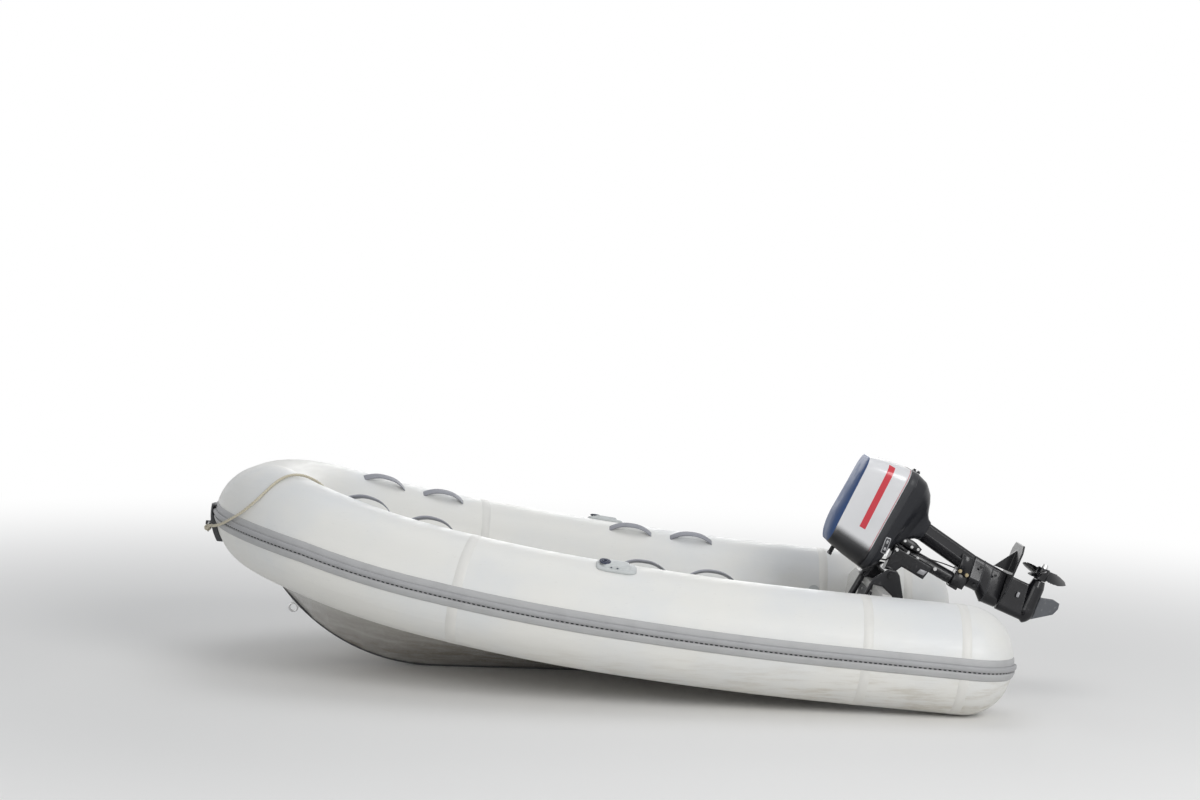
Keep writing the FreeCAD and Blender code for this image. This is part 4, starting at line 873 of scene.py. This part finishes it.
def buildOarPads():
    rows = []
    for ring in range(1, oarPad["rings"] + 1):
        share = ring / oarPad["rings"]
        rows.append([padPoint(*spot, padHeight(share, *spot)) for spot in padOutline(share)])
    rows.append([padPoint(*spot, oarPad["backLift"]) for spot in padOutline(1)])
    mesh = skinPad("oarlock_pads_moulded", rows, mirrored=True)
    finished("oarlock_pads_moulded", mesh, "pad", "boat", replaced=("oarlock_pads",))
    spots = []
    for label, side in boatSides.items():
        # The dark blue collar round each socket is partly the socket's rim, partly painted shade
        rings = [shadeCollarRing(radius, lift, side) for radius, lift in oarPad["shadeCollar"] + oarPad["shadeCollar"][:1]]
        name = "oarlock_shade_collar_" + label
        shadeCollar = loftRings(name, rings, None, closed=False)
        finished(name, shadeCollar, "socket", "boat")
        for along, across in oarPad["plugs"]:
            spot = padPoint(along, across, oarPad["rise"] - oarPad["plugSink"])
            facing = (spot - padPoint(along, across, 0)).normalized()
            spots.append((toSide(spot, side), toSide(facing, side)))
    buildStuds("oarlock_pad_plugs", spots, "socket", "boat", oarPad["plug"], sides=12)
    print("oarlock pads built")


# Non-slip studs on the cockpit floor, clear of the painter's rope and coil
def buildDeckStuds():
    deck = {"start": 0.16, "end": 1.36, "half": 0.26, "pitch": 0.030, "level": 0.1262, "clear": 0.115,
            "ropeFrom": 1.18, "ropeAt": 0.068, "ropeClear": 0.03, "stud": (0.0055, 0.0012, 0.0070, 0.0006)}
    facing = boatPlace.to_3x3() @ up
    middle = Vector(painter["coilMiddle"]).to_2d()
    spots = []
    for row in range(int((deck["end"] - deck["start"]) / deck["pitch"]) + 1):
        for column in range(-int(deck["half"] / deck["pitch"]), int(deck["half"] / deck["pitch"]) + 1):
            x = deck["start"] + row * deck["pitch"]
            y = (column + (0.5 if row % 2 else 0)) * deck["pitch"]
            nearRope = abs(y - deck["ropeAt"]) < deck["ropeClear"] and x > deck["ropeFrom"]
            if (Vector((x, y)) - middle).length > deck["clear"] and not nearRope:
                spots.append((boatPlace @ Vector((x, y, deck["level"])), facing))
    buildStuds("deck_studs", spots, "deck", "boat", deck["stud"], sides=8)
    print("deck studs built:", len(spots))


# A plate given by its outline in the motor's side view, between two widths, with softened rims
def buildSlab(name, outline, low, high, bevel, finish, body="motor", place=motorPlace):
    middle = Vector((sum(x for x, z in outline) / len(outline), sum(z for x, z in outline) / len(outline)))
    rings = []
    for across, inset in ((low, bevel), (low + bevel, 0), (high - bevel, 0), (high, bevel)):
        ring = []
        for x, z in outline:
            way = Vector((x, z)) - middle
            point = middle + way * (1 - inset / max(way.length, inset * 2))
            ring.append(mm(point.x, across, point.y))
        rings.append(ring)
    finished(name, loftRings(name, rings, place), finish, body)


def roundedOutline(x, z, length, width, turn=0.0, corner=3.0, steps=5):
    outline = []
    spin = Matrix.Rotation(math.radians(turn), 2)
    for cornerX, cornerZ, start in ((1, 1, 0), (-1, 1, 90), (-1, -1, 180), (1, -1, 270)):
        for step in range(steps + 1):
            angle = math.radians(start + 90 * step / steps)
            point = Vector((cornerX * (length / 2 - corner) + corner * math.cos(angle),
                            cornerZ * (width / 2 - corner) + corner * math.sin(angle)))
            point = spin @ point
            outline.append((x + point.x, z + point.y))
    return outline


# Cowl: silver sides, a dark crowned lid, the gasket band and the bowl below it
cowl = {
    # front, rear, half width, height, front corner, rear corner, rise to the rear
    "side": [(37, -421, 132, 132, 74, 60, 1.5), (12, -383, 120.5, 303, 60, 56, 3.4)],
    "ridge": [(12, -383, 120.5, 303, 60, 56, 3.4), (10.5, -381.5, 118.5, 307.5, 60, 56, 3.4),
              (7, -379, 115, 309.5, 58, 55, 3.3)],
    "lid": [(9, -381, 117, 308.5, 59, 55, 3.4), (4, -378, 113, 311.5, 58, 54, 3.2),
            (-14, -368, 104, 317, 54, 50, 2.4), (-38, -359, 92, 321, 50, 46, 1.5),
            (-70, -335, 74, 325, 42, 40, 0.7), (-103, -309, 54, 327.5, 34, 34, 0),
            (-150, -262, 24, 328.5, 16, 16, 0)],
    "gasket": [(36, -420, 131, 134, 74, 60, 1.5), (38.5, -422.5, 133.5, 132.5, 75, 61, 1.5),
               (38.5, -422.5, 133.5, 107, 75, 61, 0.2), (35, -421, 131.5, 103.5, 73, 60, 0)],
    "bowl": [(34, -421, 131, 105, 72, 60, 0), (24, -417, 128.5, 90, 70, 60, 0),
             (0, -408, 122, 64, 66, 60, -2), (-30, -392, 109, 53, 58, 55, -5),
             (-64, -372, 92, 44, 50, 50, -10), (-110, -345, 74, 22, 40, 40, -10),
             (-146, -316, 57, 2, 34, 30, -9), (-166, -296, 51, -14, 38, 26, -7),
             (-178, -280, 47, -32, 42, 20, -4), (-183, -272, 45, -52, 44, 15, 0)],
    "knobs": [(-423, 46, 105), (-423, -46, 105)], "knob": (0.006, 0.010, 0.009, 0.004),
    "latch": (-98, 84), "latchTurn": -10.0,
    # piece: reach along the latch, length, width, corner, inner and outer face, bevel, finish
    "latchParts": {
        "latch_plate": (0, 70, 24, 5, 118, 131.5, 1.5, "latch"),
        "latch_face": (0, 62, 17, 4, 120, 132.5, 0.8, "rim"),
        "latch_button_1": (15, 14, 9, 2.5, 122, 134, 0.8, "latch"),
        "latch_button_2": (-15, 14, 9, 2.5, 122, 134, 0.8, "latch"),
    },
}


def buildCowl():
    shells = {
        # piece: rings, finish, slot, the solid that it stands for
        "cowl_sides": (ringsFor(cowl["side"], 10, swell=3.0)[:-1] + ringsFor(cowl["ridge"], 2), "silver",
                       "cowl_silver", "top_cowl"),
        "cowl_lid": (ringsFor(cowl["lid"]), "lid", "motor_black", "top_cowl"),
        "cowl_gasket": (ringsFor(cowl["gasket"], 2), "rim", "motor_black", "lower_cowl"),
        "cowl_bowl": (ringsFor(cowl["bowl"]), "pan", "motor_black", "lower_cowl"),
    }
    for name, (rings, finish, slot, solid) in shells.items():
        finished(name, loftRings(name, rings, motorPlace), finish, "motor", replaced=(solid,))
    facing = motorPlace.to_3x3() @ Vector((-1, 0, 0))
    spots = [(motorPlace @ mm(*spot), facing) for spot in cowl["knobs"]]
    buildStuds("cowl_knobs", spots, "rim", "motor", cowl["knob"], sides=12)
    x, z = cowl["latch"]
    turn = cowl["latchTurn"]
    lean = math.radians(turn)
    for name, (reach, length, width, corner, low, high, bevel, finish) in cowl["latchParts"].items():
        middle = (x + reach * math.cos(lean), z + reach * math.sin(lean))
        buildSlab(name, roundedOutline(*middle, length, width, turn, corner), low, high, bevel, finish)
    print("cowl built")


# Leg, gearcase and swivel: the CAD castings with rounded edges, and their fittings in motor millimetres
motorCastings = {
    # piece: node, finish, body, slot, voxel, smoothing rounds
    "leg_casting": ("leg_housing", "enamel", "motor", "motor_black", 0.0025, 6),
    "extension_casting": ("leg_extension", "enamel", "motor", "motor_black", 0.0022, 4),
    "plate_casting": ("cavitation_plate", "enamel", "motor", "motor_black", 0.0014, 8),
    "gearcase_casting": ("gearcase", "enamel", "motor", "motor_black", 0.0020, 6),
    "skeg_casting": ("skeg", "skeg", "motor", "skeg_metal", 0.0016, 4),
    "yoke_casting": ("steering_yokes", "casting", "motor", "motor_black", 0.0022, 5),
    "arm_casting": ("steering_arm", "casting", "motor", "motor_black", 0.0022, 5),
    "starter_handle": ("starter_grip", "grip", "motor", "grip_rubber", 0.0016, 5),
    "swivel_casting": ("swivel_bracket", "casting", "swivel", "motor_black", 0.0025, 6),
    "clamp_port_casting": ("clamp_bracket_port", "casting", "boat", "motor_black", 0.0022, 5),
    "clamp_starboard_casting": ("clamp_bracket_starboard", "casting", "boat", "motor_black", 0.0022, 5),
    "tiller_casting": ("tiller_arm", "casting", "tiller", "motor_black", 0.0020, 5),
    "propeller_casting": ("propeller", "enamel", "propeller", "motor_black", 0.0018, 4),
    "bow_moulding": ("bow_guard", "dark", "boat", "keel_plastic", 0.0022, 6),
}
legFittings = {
    # plate: outline in the side view, half width, bevel, finish
    "plates": {
        "leg_collar": ([(-228, -236), (-154, -251), (-151, -307), (-228, -285)], 48, 4, "enamel"),
        "leg_mount": ([(-87, -252), (-150, -250), (-152, -311), (-92, -309)], 37, 4, "casting"),
        "shift_plate": ([(-134, 26), (-166, 24), (-168, -40), (-156, -74), (-136, -72), (-133, -20)], 46, 3,
                        "casting"),
    },
    # bolts: places on the port side, their frame, body, finish and size
    "bolts": {
        "mount_bolts": ([(-158, 48, -259), (-157, 48, -292)], motorPlace, "motor", "brass", "large"),
        "leg_bolts": ([(-170, 47, -334), (-250, 40, -334), (-160, 44, -404), (-240, 38, -404)], lowerPlace,
                      "motor", "casting", "small"),
        "shift_bolts": ([(-144, 46, -32), (-152, 46, 6), (-148, 46, -60)], motorPlace, "motor", "steel",
                        "small"),
        "swivel_bolts": ([(-112, 26, -81), (-112, 26, -168)], motorPlace, "swivel", "steel", "large"),
    },
    "large": (0.0055, 0.005, 0.008, 0.002), "small": (0.0045, 0.0035, 0.006, 0.0012),
    # seams of the leg: front, rear, half width and height, and the bead's section as rise and growth
    "seams": [(-146.2, -278.7, 46, -350), (-112, -274, 46, -391)], "seamTail": 0.3,
    "seamBead": [(-2.2, 0.2), (-1.4, 1.5), (1.4, 1.5), (2.2, 0.2)],
    "plug": (-202, -527, 22, 12), "plugFaces": (18, 30),
    "tiltStop": [(-60, -106), (-82, -112), (-86, -142), (-64, -136)], "tiltStopFaces": (33, 39),
}


def seamRing(front, rear, half, height, grow, steps=12):
    tail = half * legFittings["seamTail"]
    ring = []
    for middle, radius, start in ((front - half, half + grow, 90), (rear + tail, tail + grow, -90)):
        for step in range(steps + 1):
            angle = math.radians(start - 180 * step / steps)
            ring.append(mm(middle + radius * math.cos(angle), radius * math.sin(angle), height))
    return ring


def buildLeg():
    for name, (nodeName, finish, body, slot, voxel, rounds) in motorCastings.items():
        castBody(name, nodeName, finish, body, voxel, rounds)
    for name, (outline, half, bevel, finish) in legFittings["plates"].items():
        buildSlab(name, outline, -half, half, bevel, finish)
    for name, (rows, place, body, finish, size) in legFittings["bolts"].items():
        spots = [(place @ mm(x, side * y, z), place.to_3x3() @ Vector((0, side, 0)))
                 for x, y, z in rows for side in boatSides.values()]
        buildStuds(name, spots, finish, body, legFittings[size])
    for number, (front, rear, half, height) in enumerate(legFittings["seams"], 1):
        name = "leg_seam_%d" % number
        rings = [seamRing(front, rear, half, height + rise, grow) for rise, grow in legFittings["seamBead"]]
        finished(name, loftRings(name, rings, lowerPlace), "rim", "motor")
    for label, side in boatSides.items():
        low, high = sorted(side * face for face in legFittings["tiltStopFaces"])
        buildSlab("tilt_stop_" + label, legFittings["tiltStop"], low, high, 1, "latch", "swivel")
    plug = roundedOutline(*legFittings["plug"])
    buildSlab("gearcase_plug", plug, *legFittings["plugFaces"], 1, "latch", place=lowerPlace)
    print("leg built:", len(motorCastings), "castings")


# Small gear between the cowl and the clamps, and the tiller grip's ribs, in motor millimetres
linkage = {
    # rod: finish, slot, radius, points
    "rods": {
        "steering_link": ("casting", "motor_black", 3.6, [(-34, 58, 66), (-44, 84, 44), (-70, 90, 34),
                                                          (-104, 86, 26)]),
        "shift_lever": ("casting", "motor_black", 6.0, [(-128, 46, 46), (-128, 70, 40), (-122, 82, 14),
                                                        (-118, 84, -22)]),
        "fuel_stub": ("grip", "grip_rubber", 5.5, [(-10, 62, 72), (0, 72, 44), (4, 78, 20), (2, 80, -2)]),
        "shift_rod": ("casting", "motor_black", 2.6, [(-118, 80, -20), (-132, 66, -96), (-150, 46, -180),
                                                      (-158, 34, -236)]),
    },
    "joints": [(-34, 58, 66), (-104, 86, 26), (-128, 62, 44), (-118, 84, -20)],
    "nut": (0.0050, 0.007, 0.0075, 0.002),
    "ribsRun": (262, 366, 4), "ribsHeight": 80, "ribs": (0.0075, 0.0038, 0.0202, 0.001),
}


def buildLinkage():
    for name, (finish, slot, radius, points) in linkage["rods"].items():
        bar = barAlong(name, [mm(*point) for point in points], radius * 0.001, motorPlace)
        finished(name, bar, finish, "motor")
    spots = [(motorPlace @ mm(*spot), Vector((0, 1, 0))) for spot in linkage["joints"]]
    buildStuds("linkage_nuts", spots, "steel", "motor", linkage["nut"])
    ribs = [motorPlace @ mm(x, 0, linkage["ribsHeight"]) for x in range(*linkage["ribsRun"])]
    buildLugs("grip_ribs", [ribs], "grip", "tiller", linkage["ribs"], ringed=True)
    print("linkage built")


# Bolts through the transom pads, and the tilt pin's end nuts
def buildTransomBolts():
    bolts = {"faces": ((-0.006, -1), (0.046, 1)), "across": (0.058, 0.136), "heights": (0.266, 0.372),
             "bolt": (0.005, 0.004, 0.0078, 0.0015), "pinEnd": 0.131, "nut": (0.010, 0.007, 0.014, 0.003)}
    spots = []
    for face, way in bolts["faces"]:
        facing = boardPlace.to_3x3() @ Vector((way, 0, 0))
        spots += [(boardPlace @ Vector((face, side * y, z)), facing)
                  for y in bolts["across"] for z in bolts["heights"] for side in boatSides.values()]
    buildStuds("transom_bolts", spots, "steel", "boat", bolts["bolt"])
    nuts = [(pivotPoint + Vector((0, side * bolts["pinEnd"], 0)), Vector((0, side, 0)))
            for side in boatSides.values()]
    buildStuds("tilt_nuts", nuts, "casting", "boat", bolts["nut"])
    print("transom bolts built")


# Painter: from its knot on the bow ring, over the port quarter and down to its coil on the deck
painter = {
    "radius": 0.006, "strands": 3, "strand": 0.0031, "offset": 0.0031, "pitch": 0.042, "step": 0.004,
    "askew": (0.31, 0.17, 0.93), "curveOrder": 3, "curveSteps": 8,
    "route": [(2.750, 0.0363, 0.371), (2.750, 0.062, 0.371), (2.726, 0.130, 0.397), (2.704, 0.208, 0.406),
              (2.686, 0.275, 0.417), (2.652, 0.352, 0.436), (2.612, 0.418, 0.468), (2.567, 0.448, 0.501),
              (2.530, 0.464, 0.538), (2.498, 0.465, 0.572), (2.443, 0.409, 0.637), (2.403, 0.356, 0.659),
              (2.363, 0.318, 0.662), (2.321, 0.289, 0.650), (2.276, 0.260, 0.624), (2.233, 0.228, 0.574),
              (2.203, 0.195, 0.481), (2.200, 0.190, 0.400), (2.180, 0.184, 0.330), (2.130, 0.176, 0.309),
              (2.030, 0.150, 0.287), (1.900, 0.118, 0.259), (1.760, 0.096, 0.229), (1.620, 0.084, 0.199),
              (1.490, 0.074, 0.171), (1.380, 0.068, 0.147), (1.300, 0.064, 0.1323)],
    "coilMiddle": (1.180, 0.060, 0.1323), "coilRadii": (0.078, 0.066, 0.054), "turnPoints": 14,
    "ring": (2.750, 0.0, 0.371),
    "hitch": {"turns": 3, "steps": 60, "radius": 0.0085, "start": 0.034, "end": 0.012, "loopSteps": 12,
              "loopReach": 0.016, "loopRise": 0.004},
    "stopper": {"steps": 48, "ahead": 0.016, "size": 0.0042, "lift": 0.0075, "rise": 0.0058},
}


# Points a step apart along a line
def evenPoints(points, step):
    spaced = [points[0]]
    left = step
    for first, second in zip(points, points[1:]):
        run = (second - first).length
        while run > left:
            first = first.lerp(second, left / run)
            run -= left
            spaced.append(first)
            left = step
        left -= run
    spaced.append(points[-1])
    return spaced


# Laid strands round a line
def laidRope(name, line, sides=6):
    strands = painter["strands"]
    spaced = evenPoints(line, painter["step"])
    side = (spaced[1] - spaced[0]).cross(Vector(painter["askew"])).normalized()
    points = []
    faces = []
    travelled = 0.0
    for index, point in enumerate(spaced):
        ahead = aheadAt(spaced, index)
        side = (side - ahead * side.dot(ahead)).normalized()
        top = ahead.cross(side)
        if index:
            travelled += (point - spaced[index - 1]).length
        for strand in range(strands):
            turn = 2 * math.pi * (travelled / painter["pitch"] + strand / strands)
            away = side * math.cos(turn) + top * math.sin(turn)
            for angle in turns(sides):
                rim = side * math.cos(angle + turn) + top * math.sin(angle + turn)
                points.append(point + away * painter["offset"] + rim * painter["strand"])
    ring = strands * sides
    for base in range(0, len(points) - ring, sides):
        faces += bandFaces(base, sides, ring)
    for base in list(range(0, ring, sides)) + list(range(len(points) - ring, len(points), sides)):
        faces.append(tuple(range(base, base + sides)))
    return meshFrom(name, points, faces, merged=False)


def painterLine():
    route = [Vector(point) for point in painter["route"]]
    middle = Vector(painter["coilMiddle"])
    radii = painter["coilRadii"]
    order = list(radii) + list(reversed(radii))
    for layer, radius in enumerate(order):
        lift = 0 if layer < len(radii) else 2 * painter["radius"]
        following = order[min(layer + 1, len(order) - 1)]
        for step, turn in enumerate(turns(painter["turnPoints"])):
            late = max(0, step / painter["turnPoints"] - 0.5) * 2
            wide = radius + (following - radius) * late
            rise = lift + (2 * painter["radius"] * late if layer == len(radii) - 1 else 0)
            route.append(middle + Vector((wide * math.cos(turn), wide * math.sin(turn), rise)))
    curve = bpy.data.curves.new("painter", "CURVE")
    curve.dimensions = "3D"
    spline = curve.splines.new("NURBS")
    spline.points.add(len(route) - 1)
    for point, place in zip(spline.points, route):
        point.co = (*(boatPlace @ place), 1)
    spline.order_u = painter["curveOrder"]
    spline.use_endpoint_u = True
    spline.resolution_u = painter["curveSteps"]
    line = linked("painterLine", curve)
    bpy.context.view_layer.update()
    followed = bpy.data.meshes.new_from_object(line)
    path = [vertex.co.copy() for vertex in followed.vertices]
    bpy.data.objects.remove(line)
    return path


# Hitch on the ring: turns round the rope's own part, and the loop through the ring
def hitchLine():
    hitch = painter["hitch"]
    ring = Vector(painter["ring"])
    radius = hitch["radius"]
    line = []
    for step in range(hitch["steps"] + 1):
        turn = 2 * math.pi * hitch["turns"] * step / hitch["steps"]
        across = hitch["start"] + (hitch["end"] - hitch["start"]) * step / hitch["steps"]
        line.append(ring + Vector((radius * math.cos(turn), across, radius * math.sin(turn))))
    for step in range(1, hitch["loopSteps"] + 1):
        turn = math.pi * step / hitch["loopSteps"]
        across = hitch["end"] - hitch["loopReach"] * math.sin(turn)
        line.append(ring + Vector((radius * math.cos(turn), across, hitch["loopRise"] * math.sin(turn))))
    return [boatPlace @ point for point in line]


# Overhand stopper at the free end: a trefoil knot's line
def stopperLine(end, way):
    stopper = painter["stopper"]
    side = way.cross(up).normalized()
    line = []
    for step in range(stopper["steps"] + 1):
        turn = 2 * math.pi * step / stopper["steps"]
        across = stopper["size"] * (math.sin(turn) + 2 * math.sin(2 * turn))
        ahead = stopper["ahead"] + stopper["size"] * (math.cos(turn) - 2 * math.cos(2 * turn))
        high = stopper["lift"] - stopper["rise"] * math.sin(3 * turn)
        line.append(end + way * ahead + side * across + up * high)
    return line


def buildPainter():
    path = painterLine()
    rope = finished("painter_line", laidRope("painter_line", path), "cord", "boat",
                    replaced=("painter_rope", "painter_coil"))
    hitch = finished("painter_hitch", laidRope("painter_hitch", hitchLine()), "cord", "boat",
                     replaced=("painter_knot",))
    stopper = laidRope("painter_stopper", stopperLine(path[-1], (path[-1] - path[-3]).normalized()))
    stopper = finished("painter_stopper", stopper, "cord", "boat")


# One for what the camera, a mirror or glass sees, so that the white backdrop lights nothing
def seenDirectly(tree):
    light = addNode(tree, "ShaderNodeLightPath").outputs
    seen = light["Is Camera Ray"]
    for ray in ("Is Glossy Ray", "Is Transmission Ray"):
        seen = reckon(tree, "MAXIMUM", seen, light[ray])
    return seen


# Shows a surface as plain white by the share given, and as it is for the rest
def showWhite(tree, kind, usual, share, output):
    white = addNode(tree, kind, Color=(1, 1, 1, 1), Strength=1.0)
    shown = addNode(tree, "ShaderNodeMixShader", Fac=share)
    tree.links.new(usual.outputs[0], shown.inputs[1])
    tree.links.new(white.outputs[0], shown.inputs[2])
    tree.links.new(shown.outputs[0], tree.nodes[output].inputs["Surface"])


# Pale floor that fades to white, a pale sky and four soft lamps
def buildStage():
    stage = {"half": 30, "level": -0.001, "floor": (0.86, 0.85, 0.83), "middle": (-1.1, 0, 0),
             "fade": (2.0, 6.5), "sky": (0.90, 0.94, 1.0, 1), "skyStrength": 0.36}
    lamps = {
        # lamp: place, target, width, power
        "key": ((-3.0, 6.4, 4.2), (0.8, 0.2, 0.3), 3.6, 270),
        "front": ((4.5, 6.5, 2.6), (1.2, 0.0, 0.3), 4.0, 80),
        "top": ((1.0, -0.5, 5.5), (1.0, 0.0, 0.2), 4.0, 60),
        "rear": ((0.5, -6.5, 3.0), (1.0, 0.0, 0.3), 4.0, 90),
    }
    half = stage["half"]
    corners = [(-half, -half, stage["level"]), (half, -half, stage["level"]), (half, half, stage["level"]),
               (-half, half, stage["level"])]
    floor = linked("floor", meshFrom("floor", corners, [(0, 1, 2, 3)]))
    material, tree, shader = startMaterial("pale floor", stage["floor"], 0.9)
    point = objectPoint(tree, place=stage["middle"])
    reach = addNode(tree, "ShaderNodeVectorMath", operation="LENGTH", Vector=point)
    far = ramp(tree, reach.outputs["Value"], *stage["fade"])
    showWhite(tree, "ShaderNodeEmission", shader, times(tree, far, seenDirectly(tree)), "Material Output")
    floor.data.materials.append(material)
    world = bpy.data.worlds.new("studio")
    bpy.context.scene.world = world
    world.use_nodes = True
    tree = world.node_tree
    background = tree.nodes["Background"]
    background.inputs["Color"].default_value = stage["sky"]
    background.inputs["Strength"].default_value = stage["skyStrength"]
    showWhite(tree, "ShaderNodeBackground", background, seenDirectly(tree), "World Output")
    for name, (place, target, width, power) in lamps.items():
        lamp = bpy.data.lights.new(name, "AREA")
        lamp.size = width
        lamp.energy = power
        holder = linked(name, lamp)
        holder.location = place
        holder.rotation_euler = (Vector(target) - Vector(place)).to_track_quat("-Z", "Y").to_euler()
    bpy.context.scene.view_settings.view_transform = "Standard"
    print("stage lit:", len(lamps), "lamps")


buildPainter()
buildStrake()
buildGrooveTeeth()
buildSeamTapes()
buildHandles()
buildOarPads()
buildDeckStuds()
buildCowl()
buildLeg()
buildLinkage()
buildTransomBolts()
buildStage()
